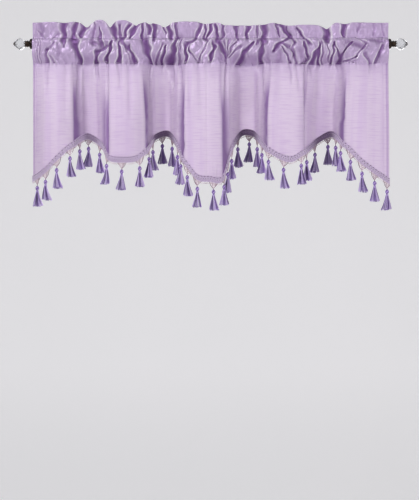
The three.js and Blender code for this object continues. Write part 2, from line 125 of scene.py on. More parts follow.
# Each row is x, y, corner radius, height of the hem and running count of tassels
FOLDS: tuple[Fold, ...] = (
    Fold(-435, 6, 0, -336, 0.33),
    Fold(-403, -38, 26, -319, 1.84),
    Fold(-369, -48, 40, -286, 3.05),
    Fold(-332, -44, 14, -255, 4.17),
    Fold(-308, 22, 14, -230, 5.87),
    Fold(-280, 20, 12, -239, 6.52),
    Fold(-261, -12, 9, -256, 7.44),
    Fold(-244, -44, 14, -287, 8.31),
    Fold(-212, -50, 60, -292, 9.04),
    Fold(-180, -49, 60, -289, 9.77),
    Fold(-156, -44, 12, -272, 10.38),
    Fold(-140, 36, 14, -231, 12.46),
    Fold(-104, 54, 14, -221, 13.39),
    Fold(-80, 0, 10, -250, 14.89),
    Fold(-65, -50, 14, -294, 16.64),
    Fold(-33, -54, 40, -333, 17.95),
    Fold(-1, -56, 60, -339, 18.78),
    Fold(28, -50, 14, -338, 19.63),
    Fold(50, 2, 10, -261, 22.01),
    Fold(76, 56, 16, -219, 23.52),
    Fold(110, 48, 14, -221, 24.31),
    Fold(137, -44, 12, -266, 26.95),
    Fold(165, -49, 60, -283, 27.72),
    Fold(195, -51, 60, -291, 28.46),
    Fold(229, -46, 8, -272, 29.21),
    Fold(232, -6, 12, -266, 30.03),
    Fold(262, 36, 20, -240, 31.23),
    Fold(303, 40, 14, -223, 32.28),
    Fold(322, -38, 14, -254, 34.47),
    Fold(371, -48, 40, -301, 36.19),
    Fold(435, -20, 0, -343, 38.22),
)

# Top edge of the header: distance along the rod and height
TOP_EDGE: tuple[tuple[float, float], ...] = (
    (-435, 51), (-395, 53), (-352, 52), (-330, 54), (-318, 51), (-303, 41), (-290, 50),
    (-279, 57), (-262, 57), (-253, 49), (-246, 41), (-238, 50), (-230, 56), (-209, 57),
    (-195, 52), (-182, 45), (-176, 49), (-160, 53), (-148, 48), (-141, 51), (-122, 45),
    (-112, 41), (-101, 47), (-92, 52), (-70, 54), (-50, 54), (-30, 53), (-12, 49),
    (10, 52), (24, 50), (35, 46), (60, 45), (100, 45), (134, 48), (150, 51), (160, 51),
    (180, 47), (195, 44), (215, 46), (245, 46), (262, 45), (276, 41), (285, 37),
    (294, 43), (305, 51), (330, 49), (350, 52), (400, 51), (435, 51),
)

# Creases of the header: x1, z1, x2, z2, half width at each end, depth, section
HEADER_CREASES: tuple[Crease, ...] = creases(
    (-418, 56, -413, 24, 7.3, 3.7, 2.5, SOFT), (-422, 32, -402, 14, 2.0, 2.0, 2, FINE),
    (-375, 22, -386, 10, 2.9, 2.4, 2.5, FINE), (-359, 56, -359, 7, 7.8, 5.9, 7, SHARP),
    (-328, 56, -338, 12, 4.9, 6.3, 6, SHARP), (-306, 51, -318, 15, 10.7, 3.4, 8, SHARP),
    (-284, 51, -288, 8, 2.4, 5.4, 4, SOFT), (-273, 39, -266, -5, 2.0, 6.3, 5, SHARP),
    (-241, 51, -231, 11, 10.2, 3.4, 9, SHARP), (-222, 44, -223, 17, 3.7, 4.4, 5, SHARP),
    (-200, 46, -213, 13, 3.9, 3.9, 5.5, SHARP), (-179, 51, -199, 13, 8.3, 2.9, 7, SHARP),
    (-168, 51, -166, 10, 2.9, 3.4, 6, SHARP), (-152, 51, -149, 24, 5.9, 3.7, 6, SHARP),
    (-138, 51, -137, 7, 5.4, 3.7, 7, SHARP), (-117, 51, -111, 27, 4.4, 2.0, 5, SHARP),
    (-104, 51, -96, 12, 6.3, 4.9, 7, SHARP), (-85, 56, -82, 15, 3.7, 2.4, 5, SHARP),
    (-23, 51, -35, 12, 5.4, 3.2, 5.5, SHARP), (-13, 56, -14, 10, 2.4, 3.4, 5, SHARP),
    (4, 51, -9, 12, 5.4, 2.0, 7, SHARP), (13, 46, 17, 10, 3.4, 3.9, 6, SHARP),
    (33, 56, 29, 12, 4.1, 3.2, 5, SHARP), (63, 56, 65, 10, 7.3, 2.0, 5.5, SHARP),
    (93, 56, 89, 12, 5.9, 3.9, 6, SHARP), (112, 51, 116, 17, 2.9, 2.4, 4, SHARP),
    (131, 56, 133, 7, 7.8, 6.3, 8, SHARP), (163, 51, 167, 19, 3.9, 2.0, 5, SHARP),
    (172, 51, 194, 15, 5.9, 2.9, 7, SHARP), (186, 39, 204, 2, 2.4, 2.9, 5.5, FINE),
    (213, 39, 240, 2, 2.4, 3.4, 6, FINE), (283, 56, 285, 5, 10.2, 6.3, 9, SHARP),
    (329, 56, 325, 17, 9.3, 3.4, 6, SHARP), (356, 16, 378, 1, 2.0, 2.2, 3, FINE),
    (364, 51, 360, 27, 4.9, 2.4, 2.5, SOFT), (401, 51, 399, 24, 4.9, 2.9, 2.5, SOFT),
    (421, 46, 421, 12, 2.4, 2.4, 2, SOFT),
)

# Creases of the rod pocket's front, in the same order of columns
POCKET_CREASES: tuple[Crease, ...] = creases(
    (-422, 10, -422, -51, 1.7, 1.7, 2, FINE), (-416, 10, -416, -51, 1.7, 1.7, 2, FINE),
    (-380, 2, -400, -16, 2.4, 2.9, 3, FINE), (-400, -15, -399, -54, 2.9, 5.4, 4, SHARP),
    (-389, -34, -378, -54, 2.4, 2.9, 2.5, FINE), (-371, -7, -372, -29, 4.4, 3.7, 2, SOFT),
    (-357, 7, -357, -10, 4.4, 2.9, 4, SHARP), (-333, 10, -316, -51, 8.3, 3.2, 9, SHARP),
    (-288, 0, -262, -1, 4.9, 5.4, 3, SOFT), (-251, -7, -275, -20, 2.9, 4.4, 5.5, SHARP),
    (-275, -20, -282, -51, 4.9, 4.9, 5.5, SHARP), (-240, 6, -254, -42, 3.4, 4.4, 7, SHARP),
    (-222, 7, -222, -45, 2.4, 5.6, 6, SHARP), (-217, 7, -201, -12, 4.9, 2.9, 5, SHARP),
    (-208, -7, -193, -49, 2.0, 2.2, 3, FINE), (-199, -7, -185, -45, 2.9, 5.4, 6, SHARP),
    (-160, 5, -146, -49, 9.8, 3.4, 9, SHARP), (-117, -3, -135, -46, 2.2, 2.7, 4, FINE),
    (-110, -7, -121, -50, 2.9, 3.7, 6, SHARP), (-84, 10, -90, -17, 3.9, 5.9, 8.5, SHARP),
    (-90, -17, -98, -51, 5.9, 9.8, 8, SHARP), (-72, 7, -74, -17, 2.0, 2.0, 4, FINE),
    (-78, -7, -77, -37, 2.4, 2.4, 4, FINE), (-60, -5, -60, -43, 4.4, 3.4, 6, SHARP),
    (-34, 11, -56, 1, 3.2, 3.2, 5, SHARP), (-55, 0, -49, -23, 2.9, 2.9, 4.5, SHARP),
    (-49, -23, -33, -46, 2.4, 2.4, 3.5, FINE), (-4, 10, -29, -42, 2.0, 2.4, 3, FINE),
    (7, 7, 9, -5, 2.9, 4.4, 5, SHARP), (9, -5, 0, -44, 4.9, 3.9, 6, SHARP),
    (22, -12, 26, -34, 6.3, 6.3, 3, SOFT), (22, 5, 37, -33, 7.3, 2.4, 9, SHARP),
    (39, -27, 34, 5, 1.5, 2.4, 3.5, FINE), (40, -27, 46, 5, 1.5, 2.7, 4, FINE),
    (43, -27, 62, 2, 1.7, 2.9, 4, FINE), (45, -32, 74, -7, 1.7, 2.9, 4, FINE),
    (105, 2, 84, -20, 2.9, 4.9, 6, SHARP), (84, -20, 68, -49, 5.4, 4.9, 7, SHARP),
    (127, 12, 122, -51, 4.4, 6.3, 9, SHARP), (119, 10, 111, -3, 3.4, 2.4, 5, SHARP),
    (190, 15, 153, -17, 3.2, 4.4, 6, SHARP), (141, -27, 141, -39, 5.4, 3.9, 2, SOFT),
    (168, -29, 168, -49, 7.3, 6.8, 2.5, SOFT), (174, -7, 195, -49, 2.4, 2.9, 4.5, SHARP),
    (174, 2, 190, -7, 4.4, 4.4, 4.5, SHARP), (202, -3, 203, -29, 2.4, 4.9, 4, SHARP),
    (195, -7, 210, -51, 2.0, 2.4, 4, FINE), (238, -38, 211, -52, 2.4, 2.4, 4, FINE),
    (223, -24, 225, -39, 7.3, 6.3, 3, SOFT), (227, 2, 239, -32, 2.9, 3.4, 7, SHARP),
    (268, -1, 246, -52, 3.4, 6.3, 9, SHARP), (265, -17, 264, -54, 3.4, 3.9, 6, SHARP),
    (273, 2, 274, -46, 2.0, 2.2, 4, FINE), (286, -7, 291, -42, 2.0, 2.0, 3.5, FINE),
    (302, -5, 295, -51, 2.4, 2.7, 5, FINE), (303, 4, 314, -29, 2.4, 2.9, 5.5, SHARP),
    (345, 3, 318, -29, 2.2, 2.9, 5.5, SHARP), (317, -29, 317, -56, 4.9, 6.3, 7, SHARP),
    (341, 0, 371, -6, 5.9, 6.3, 4, SOFT), (378, -3, 355, -34, 2.0, 2.0, 3.5, FINE),
    (355, -34, 328, -42, 2.0, 2.4, 3.5, FINE), (330, -42, 350, -42, 2.9, 2.9, 2.5, SOFT),
    (378, -24, 392, -54, 4.4, 4.9, 4, SHARP), (421, -4, 401, -51, 3.9, 3.9, 4.5, SHARP),
    (413, 0, 413, -32, 7.3, 4.9, 2.5, SOFT), (389, 6, 425, 6, 3.9, 3.9, 3, SOFT),
    (-220, 13, -218, 12, 3.9, 3.9, 6, SHARP), (-81, 13, -79, 12, 3.9, 3.9, 6, SHARP),
    (-11, 11, -10, 9, 3.7, 3.7, 6, SHARP), (128, 12, 130, 9, 4.4, 4.4, 6, SHARP),
    (238, -34, 238, -37, 2.9, 2.9, 3, SHARP),
)

# Creases of the hanging sheet, in the same order of columns
SHEET_CREASES: tuple[Crease, ...] = creases(
    (-400, -51, -400, -100, 4.9, 3.9, 2.5, SOFT), (-322, -46, -321, -183, 4.1, 4.6, 3.5, SHARP),
    (-307, -56, -306, -237, 5.4, 6.3, 2.2, SOFT), (-352, -56, -352, -200, 5.9, 6.8, 1.6, SOFT),
    (-280, -49, -278, -81, 4.9, 3.7, 4, SHARP), (-252, -37, -251, -261, 2.7, 3.2, 3, SHARP),
    (-222, -46, -219, -95, 5.4, 3.7, 3, SOFT), (-199, -51, -194, -163, 4.4, 5.4, 2, SOFT),
    (-146, -46, -145, -237, 2.2, 5.9, 4, SHARP), (-129, -51, -129, -122, 11.2, 10.2, 2.6, SOFT),
    (-121, -49, -118, -66, 2.9, 2.0, 4, SHARP), (-98, -51, -92, -100, 8.8, 2.0, 5, SHARP),
    (-74, -42, -71, -261, 3.4, 6.3, 4, SHARP), (-54, -56, -50, -151, 3.4, 4.9, 1.8, SOFT),
    (-28, -46, -23, -163, 5.4, 6.8, 1.8, SOFT), (-9, -56, -9, -346, 2.0, 2.0, 1.2, FINE),
    (26, -51, 26, -163, 4.9, 4.9, 1.8, SOFT), (39, -32, 41, -261, 2.2, 6.8, 4.5, SHARP),
    (73, -51, 73, -122, 10.7, 9.8, 2.8, SOFT), (106, -56, 111, -115, 7.3, 3.7, 1.6, SOFT),
    (124, -46, 126, -261, 3.4, 5.9, 4.5, SHARP), (141, -51, 145, -120, 5.9, 7.3, 1.6, SOFT),
    (165, -51, 167, -120, 10.7, 10.7, 1.8, SOFT), (195, -49, 199, -90, 2.9, 2.2, 3, SHARP),
    (210, -51, 218, -115, 2.2, 5.4, 3.2, SOFT), (232, -37, 231, -261, 2.7, 2.9, 4.5, SHARP),
    (247, -51, 250, -71, 5.4, 3.7, 3, SOFT), (266, -66, 269, -122, 11.0, 9.8, 2, SOFT),
    (316, -46, 317, -183, 6.3, 7.3, 4, SHARP), (337, -51, 339, -127, 3.4, 3.9, 2.2, SOFT),
    (391, -54, 389, -73, 4.9, 3.7, 2, SOFT), (422, -51, 423, -383, 1.7, 1.7, 1, FINE),
    (-427, 46, -428, -322, 1.5, 1.7, 1, FINE), (6, -305, 9, -324, 2.0, 2.0, 1.6, FINE),
    (17, -300, 16, -324, 2.0, 2.0, 1.6, FINE),
)


def smoothstep(value: Array | float, low: float, high: float) -> Array:
    """Smooth rise from 0 at low to 1 at high, which may also lie below low."""
    t = np.clip((np.asarray(value, float) - low) / (high - low), 0, 1)
    return t * t * (3 - 2 * t)


def mix(a: Array | float, b: Array | float, share: Array | float) -> Array:
    """The value that share of the way from a to b."""
    return np.asarray(a) + (np.asarray(b) - np.asarray(a)) * share


def through(knots: Sequence[float], values: Sequence[float], at: Array) -> Array:
    """Smooth curve through a table.

    Args:
        knots: rising places of the rows.
        values: the rows' values.
        at: places to read.

    Returns:
        The value at each place.
    """
    k = np.asarray(knots, float)
    v = np.asarray(values, float)
    at = np.clip(np.asarray(at, float), k[0], k[-1])
    hi = np.clip(np.searchsorted(k, at), 1, len(k) - 1)
    lo = hi - 1
    before = np.maximum(hi - 2, 0)
    after = np.minimum(hi + 1, len(k) - 1)
    span = k[hi] - k[lo]
    t = (at - k[lo]) / span
    slope_lo = (v[hi] - v[before]) / (k[hi] - k[before]) * span
    slope_hi = (v[after] - v[lo]) / (k[after] - k[lo]) * span
    t2 = t * t
    t3 = t2 * t
    return (
        v[lo] * (2 * t3 - 3 * t2 + 1)
        + slope_lo * (t3 - 2 * t2 + t)
        + v[hi] * (3 * t2 - 2 * t3)
        + slope_hi * (t3 - t2)
    )


def unit(vectors: Array) -> Array:
    """The vectors at length 1."""
    return vectors / np.maximum(np.linalg.norm(vectors, axis=-1, keepdims=True), 1e-9)


@dataclass
class Relief:
    """Pressed depth of many creases, and masks of their hollows and lips for painted shade and painted
    highlight.
    """

    creases: tuple[Crease, ...]
    deepest: float = 11.0
    sway: float = 1.5
    gentle: float = 0.88
    gentle_power: float = 2.6
    swell: float = 0.34
    swell_reach: float = 6.5
    cushion: float = 2.1
    pucker: float = 1.5
    pucker_pitch: float = 8.5
    pucker_reach: float = 4.6
    seams: tuple[float, float] = (13.5, -50.0)
    seed: int = 17

    def __post_init__(self) -> None:
        """Leans each crease to one side and shares out the painted highlight on its lips."""
        rng = np.random.default_rng(self.seed)
        self.lean = rng.choice([-1.0, 1.0], len(self.creases))
        self.lip_highlight_share = rng.uniform(0.1, 1.0, (len(self.creases), 2))

    def gathered(self, x: Array, z: Array) -> Array:
        """Small cushions between sharp lines, and puckers along the seams."""
        upper = smoothstep(z, -66, -46)
        lines = (
            (1.0, 2.2, x / 6.3 + 1.5 * np.sin(z / 16 + x / 37) + 0.5 * np.sin(z / 6.1)),
            (0.7, 3.0, x / 9.7 + z / 13 + 1.2 * np.sin(x / 23 - z / 19)),
            (0.7, 3.0, x / 7.9 - z / 15 + 1.1 * np.sin(z / 12 + x / 29)),
        )
        uneven = 0.45 + 0.55 * np.sin(x / 27 + 1.3 * np.sin(x / 61) + z / 45) ** 2
        depth = sum(share * (1 - np.abs(np.sin(wave))) ** power for share, power, wave in lines)
        depth = self.cushion * depth * uneven * upper
        turn = 2 * math.pi * x / self.pucker_pitch + 2.1 * np.sin(x / 17) + 0.9 * np.sin(x / 5.3)
        for seam in self.seams:
            near = np.exp(-(((z - seam) / self.pucker_reach) ** 2))
            depth = depth + self.pucker * near * (0.5 + 0.5 * np.sin(turn + seam)) * (0.5 + 0.5 * uneven)
        return depth

    def at(self, x: Array, z: Array) -> tuple[Array, Array, Array]:
        """Relief at points of the cloth.

        Args:
            x: places along the rod.
            z: heights.

        Returns:
            How far the cloth is pushed back, and masks of the hollows and lips, for painted shade and
            painted highlight.
        """
        depth = np.zeros_like(x)
        open_share = np.ones_like(x)
        lips = np.zeros_like(x)
        wander = self.sway * mix(0.3, 1.0, smoothstep(z, -62, -46))
        swayed_x = x + wander * (np.sin(z / 6.8 + x / 21) + 0.6 * np.sin(z / 3.9 - x / 12.5 + 2))
        swayed_z = z + wander * np.sin(x / 9.3 + z / 12)
        for c, lean, lip_highlight_share in zip(self.creases, self.lean, self.lip_highlight_share):
            section = SECTIONS[c.kind]
            dx, dz = c.x2 - c.x1, c.z2 - c.z1
            length = math.hypot(dx, dz)
            along = ((swayed_x - c.x1) * dx + (swayed_z - c.z1) * dz) / length
            t = np.clip(along / length, 0, 1)
            half = mix(c.half1, c.half2, t) * (1 + 0.18 * np.sin(along / 5.5 + c.x1))
            side = ((swayed_x - c.x1) * dz - (swayed_z - c.z1) * dx) / length / half
            off = np.abs(side)
            beyond = along - t * length
            ends = np.exp(-((beyond / (section.end * half)) ** 2))
            steep = side * lean > 0
            slope = np.where(steep, off**section.power, (self.gentle * off) ** self.gentle_power)
            hollow = np.exp(-slope) * ends
            lip = np.exp(-(((off - section.lip_at) / section.lip_width) ** 2)) * ends
            lip = lip * np.where(side > 0, *lip_highlight_share)
            swell = np.exp(-((off * half / (half + self.swell_reach)) ** 2) - (beyond / 9.0) ** 2)
            depth += c.depth * (hollow - section.lip * lip + self.swell * swell * (section.lip > 0))
            weight = min(1.0, c.depth / 6.0)
            # What the hollows leave open; the rest becomes the mask of painted crease shade.
            open_share *= 1 - hollow * weight
            # Mask of painted highlight on the lips of the creases.
            lips = np.maximum(lips, lip * weight * (section.lip > 0))
        depth += self.gathered(x, z)
        depth = np.where(depth > 0, self.deepest * np.tanh(depth / self.deepest), depth)
        return depth, 1 - open_share, lips


@dataclass
class Drape:
    """The folds in which the cloth hangs, shared by everything that is sewn to it."""

    half_width: float = 435.0
    seam_z: float = -50.0
    seam_fold_depth: float = 0.3
    seam_bunching: float = 0.62
    full_at: float = 0.72
    normal_step: float = 7.25
    bend_points: int = 24

    def __post_init__(self) -> None:
        """Draws the plan of the hem and measures it."""
        corners = np.array([(f.x, f.y) for f in FOLDS], float)
        points = [corners[0]]
        self.fold_s = [0.0]
        walked = 0.0
        for i in range(1, len(corners) - 1):
            before = corners[i - 1] - corners[i]
            after = corners[i + 1] - corners[i]
            len_before, len_after = np.linalg.norm(before), np.linalg.norm(after)
            cosine = np.clip(before @ after / (len_before * len_after), -1, 1)
            turn = math.pi - math.acos(cosine)
            reach = min(FOLDS[i].r * math.tan(turn / 2), 0.45 * min(len_before, len_after))
            start = corners[i] + before / len_before * reach
            end = corners[i] + after / len_after * reach
            t = np.linspace(0, 1, self.bend_points)[:, None]
            bend = (1 - t) ** 2 * start + 2 * t * (1 - t) * corners[i] + t**2 * end
            walked += float(np.linalg.norm(start - points[-1]))
            bend_length = float(np.linalg.norm(np.diff(bend, axis=0), axis=1).sum())
            self.fold_s.append(walked + bend_length / 2)
            walked += bend_length
            points.extend(bend)
        points.append(corners[-1])
        self.plan = np.array(points)
        steps = np.linalg.norm(np.diff(self.plan, axis=0), axis=1)
        self.plan_s = np.concatenate([[0], np.cumsum(steps)])
        self.width = float(self.plan_s[-1])
        self.fold_s.append(self.width)
        self.fold_hem = [f.hem for f in FOLDS]

    def middle(self, s: Array, down: Array | float) -> Array:
        """Middle of the cloth.

        Args:
            s: distance along the cloth.
            down: share of the drop below the pocket seam.

        Returns:
            Points, one for each s and down.
        """
        s, down = np.broadcast_arrays(np.asarray(s, float), np.asarray(down, float))
        hem_x = np.interp(s, self.plan_s, self.plan[:, 0])
        hem_y = np.interp(s, self.plan_s, self.plan[:, 1])
        even = mix(-self.half_width, self.half_width, s / self.width)
        opened = smoothstep(down, 0, self.full_at)
        x = mix(mix(even, hem_x, self.seam_bunching), hem_x, opened)
        y = hem_y * mix(self.seam_fold_depth, 1, opened)
        z = mix(self.seam_z, through(self.fold_s, self.fold_hem, s), down)
        return np.stack([x, y, z], axis=-1)

    def normal(self, s: Array, down: Array | float, step: float | None = None) -> Array:
        """Unit normal in plan towards the front of the cloth."""
        step = self.normal_step if step is None else step
        a = self.middle(np.maximum(np.asarray(s, float) - step, 0), down)
        b = self.middle(np.minimum(np.asarray(s, float) + step, self.width), down)
        flat = np.stack([b[..., 1] - a[..., 1], a[..., 0] - b[..., 0], 0 * a[..., 0]], axis=-1)
        return unit(flat)

    def beside_hem(self, s: Array, out: Array | float, up: Array | float) -> Array:
        """Points in front of the hem by out, and above it by up."""
        s = np.clip(np.asarray(s, float), 0, self.width)
        points = self.middle(s, 1.0) + self.normal(s, 1.0) * np.asarray(out)[..., None]
        points[..., 2] += up
        return points

    def tassel_s(self, count: int) -> Array:
        """Distance along the cloth of each tassel."""
        return through([f.tassels for f in FOLDS], self.fold_s, np.arange(1, count + 1))


def mesh_object(
    name: str,
    points: Array,
    faces: Sequence[Sequence[int]],
    smooth: bool = True,
    edges: Sequence[Sequence[int]] = (),
) -> bpy.types.Object:
    """A new mesh object in the scene.

    Args:
        name: the object's name.
        points: corners in millimetres.
        faces: corner numbers of each face.
        smooth: whether its faces are shaded smooth.
        edges: corner numbers of each edge that no face has.

    Returns:
        The object.
    """
    mesh = bpy.data.meshes.new(name)
    places = (np.asarray(points, float) * MM).tolist()
    mesh.from_pydata(places, list(edges), [list(map(int, f)) for f in faces])
    if smooth:
        mesh.polygons.foreach_set("use_smooth", [True] * len(mesh.polygons))
    obj = bpy.data.objects.new(name, mesh)
    bpy.context.scene.collection.objects.link(obj)
    return obj


def outward(obj: bpy.types.Object) -> None:
    """Turns every face of a closed mesh outwards."""
    work = bmesh.new()
    work.from_mesh(obj.data)
    bmesh.ops.recalc_face_normals(work, faces=work.faces)
    work.to_mesh(obj.data)
    work.free()


def set_values(obj: bpy.types.Object, name: str, values: Array) -> None:
    """Stores one number for each corner of a mesh."""
    attribute = obj.data.attributes.new(name, "FLOAT", "POINT")
    attribute.data.foreach_set("value", np.asarray(values, np.float32).ravel())


def set_vectors(obj: bpy.types.Object, name: str, vectors: Array) -> None:
    """Stores one direction for each corner of a mesh."""
    attribute = obj.data.attributes.new(name, "FLOAT_VECTOR", "POINT")
    attribute.data.foreach_set("vector", np.asarray(vectors, np.float32).ravel())


def joined(name: str, parts: Sequence[bpy.types.Object]) -> bpy.types.Object:
    """One object out of several, which are used up."""
    with bpy.context.temp_override(
        active_object=parts[0], object=parts[0], selected_objects=list(parts),
        selected_editable_objects=list(parts),
    ):
        bpy.ops.object.join()
    parts[0].name = name
    return parts[0]


def dress(obj: bpy.types.Object, material: bpy.types.Material) -> None:
    """Gives a mesh one material."""
    obj.data.materials.clear()
    obj.data.materials.append(material)


def strip_between(a: Sequence[int], b: Sequence[int]) -> list[list[int]]:
    """Triangles between two rows of corners that may differ in number."""
    faces = []
    i = j = 0
    while i < len(a) - 1 or j < len(b) - 1:
        share_a = (i + 1) / max(len(a) - 1, 1) if i < len(a) - 1 else 2.0
        share_b = (j + 1) / max(len(b) - 1, 1) if j < len(b) - 1 else 2.0
        if share_a <= share_b:
            faces.append([a[i], a[i + 1], b[j]])
            i += 1
        else:
            faces.append([a[i], b[j + 1], b[j]])
            j += 1
    return [f for f in faces if len(set(f)) == 3]


class NodeTool:
    """A geometry node tree with named inputs that turns a guide mesh into a finished one."""

    def __init__(self, name: str, inputs: Sequence[tuple[str, str, float | None]]) -> None:
        """Starts the tree.

        Args:
            name: the tree's name.
            inputs: name, socket type and default value of each input after the guide.
        """
        self.tree = bpy.data.node_groups.new(name, "GeometryNodeTree")
        self.tree.is_modifier = True
        face = self.tree.interface
        face.new_socket("Geometry", in_out="INPUT", socket_type="NodeSocketGeometry")
        for label, kind, value in inputs:
            socket = face.new_socket(label, in_out="INPUT", socket_type=kind)
            if value is not None:
                socket.default_value = value
        face.new_socket("Geometry", in_out="OUTPUT", socket_type="NodeSocketGeometry")
        self.source = self.tree.nodes.new("NodeGroupInput")
        self.sink = self.tree.nodes.new("NodeGroupOutput")

    def node(self, kind: str, **wires: object) -> bpy.types.Node:
        """Adds a node and wires or sets the inputs that are named."""
        made = self.tree.nodes.new(kind)
        for label, value in wires.items():
            socket = made.inputs[label.replace("_", " ")]
            if isinstance(value, bpy.types.NodeSocket):
                self.tree.links.new(value, socket)
            else:
                socket.default_value = value
        return made

    def named(self, name: str, kind: str) -> bpy.types.NodeSocket:
        """Output that reads a stored value of the guide mesh."""
        reader = self.node("GeometryNodeInputNamedAttribute", Name=name)
        reader.data_type = kind
        return reader.outputs["Attribute"]

    def finish(self, geometry: bpy.types.NodeSocket) -> None:
        """Realizes the instances and sets the material at the end of the tree."""
        real = self.node("GeometryNodeRealizeInstances", Geometry=geometry)
        painted = self.node(
            "GeometryNodeSetMaterial",
            Geometry=real.outputs["Geometry"],
            Material=self.source.outputs["Material"],
        )
        self.tree.links.new(painted.outputs["Geometry"], self.sink.inputs["Geometry"])

    def run(self, guide: bpy.types.Object, **values: object) -> bpy.types.Object:
        """Turns the guide into a plain mesh.

        Args:
            guide: the object whose mesh the tree reads.
            values: the tree's inputs by name, with _ for a blank.

        Returns:
            The same object with its new mesh and no modifier.
        """
        modifier = guide.modifiers.new("making", "NODES")
        modifier.node_group = self.tree
        for item in self.tree.interface.items_tree:
            label = item.name.replace(" ", "_")
            if item.item_type == "SOCKET" and item.in_out == "INPUT" and label in values:
                modifier[item.identifier] = values[label]
        graph = bpy.context.evaluated_depsgraph_get()
        made = bpy.data.meshes.new_from_object(
            guide.evaluated_get(graph), preserve_all_data_layers=True, depsgraph=graph
        )
        guide.modifiers.remove(modifier)
        guide.data = made
        return guide


class ThreadTubes(NodeTool):
    """Turns every line of a guide mesh into a round thread."""

    def __init__(self) -> None:
        """Builds the tree."""
        super().__init__("Thread Tubes", [
            ("Radius", "NodeSocketFloat", 0.0005),
            ("Sides", "NodeSocketInt", 4),
            ("Material", "NodeSocketMaterial", None),
        ])
        curve = self.node("GeometryNodeMeshToCurve", Mesh=self.source.outputs["Geometry"])
        sized = self.node(
            "GeometryNodeSetCurveRadius",
            Curve=curve.outputs["Curve"],
            Radius=self.named("girth", "FLOAT"),
        )
        ring = self.node(
            "GeometryNodeCurvePrimitiveCircle",
            Resolution=self.source.outputs["Sides"],
            Radius=self.source.outputs["Radius"],
        )
        tube = self.node(
            "GeometryNodeCurveToMesh",
            Curve=sized.outputs["Curve"],
            Profile_Curve=ring.outputs["Curve"],
        )
        tube.inputs["Fill Caps"].default_value = True
        smooth = self.node("GeometryNodeSetShadeSmooth", Geometry=tube.outputs["Mesh"])
        self.finish(smooth.outputs["Geometry"])


class Grains(NodeTool):
    """Sets a long round grain on every point of a guide mesh, laid along its lay."""

    def __init__(self) -> None:
        """Builds the tree."""
        super().__init__("Grains", [
            ("Length", "NodeSocketFloat", 0.002),
            ("Radius", "NodeSocketFloat", 0.0005),
            ("Segments", "NodeSocketInt", 6),
            ("Rings", "NodeSocketInt", 4),
            ("Material", "NodeSocketMaterial", None),
        ])
        ball = self.node(
            "GeometryNodeMeshUVSphere",
            Segments=self.source.outputs["Segments"],
            Rings=self.source.outputs["Rings"],
            Radius=1.0,
        )
        half = self.node("ShaderNodeMath")
        half.operation = "MULTIPLY"
        self.tree.links.new(self.source.outputs["Length"], half.inputs[0])
        half.inputs[1].default_value = 0.5
        shape = self.node(
            "ShaderNodeCombineXYZ",
            X=half.outputs[0],
            Y=self.source.outputs["Radius"],
            Z=self.source.outputs["Radius"],
        )
        grain = self.node(
            "GeometryNodeTransform", Geometry=ball.outputs["Mesh"], Scale=shape.outputs[0]
        )
        turned = self.node(
            "FunctionNodeAlignRotationToVector", Vector=self.named("lay", "FLOAT_VECTOR")
        )
        turned.axis = "X"
        placed = self.node(
            "GeometryNodeInstanceOnPoints",
            Points=self.source.outputs["Geometry"],
            Instance=grain.outputs["Geometry"],
            Rotation=turned.outputs["Rotation"],
        )
        real = self.node("GeometryNodeRealizeInstances", Geometry=placed.outputs["Instances"])
        smooth = self.node("GeometryNodeSetShadeSmooth", Geometry=real.outputs["Geometry"])
        self.finish(smooth.outputs["Geometry"])


def guide_points(name: str, points: Array, **stored: Array) -> bpy.types.Object:
    """A mesh of loose points that stores values for a node tool."""
    obj = mesh_object(name, points, [])
    for label, values in stored.items():
        values = np.asarray(values)
        (set_vectors if values.ndim == 2 else set_values)(obj, label, values)
    return obj


def guide_lines(name: str, lines: Array, girth: Array, **stored: Array) -> bpy.types.Object:
    """A mesh of separate lines for a node tool.

    Args:
        name: the object's name.
        lines: points as lines x points x 3, in millimetres.
        girth: thickness at each point, as a share of the tool's radius.
        stored: further numbers for each point.

    Returns:
        The guide object.
    """
    count, length = lines.shape[:2]
    first = (np.arange(count)[:, None] * length + np.arange(length - 1)[None, :]).ravel()
    edges = np.stack([first, first + 1], axis=1)
    obj = mesh_object(name, lines.reshape(-1, 3), [], edges=edges.tolist())
    set_values(obj, "girth", np.broadcast_to(girth, (count, length)))
    for label, values in stored.items():
        set_values(obj, label, np.broadcast_to(values, (count, length)))
    return obj


def linear(red: int, green: int, blue: int) -> Rgb:
    """A colour given as it shows on a screen, from 0 to 255, in linear light."""
    def one(value: int) -> float:
        """One channel in linear light."""
        share = value / 255
        return share / 12.92 if share <= 0.04045 else ((share + 0.055) / 1.055) ** 2.4
    return one(red), one(green), one(blue)


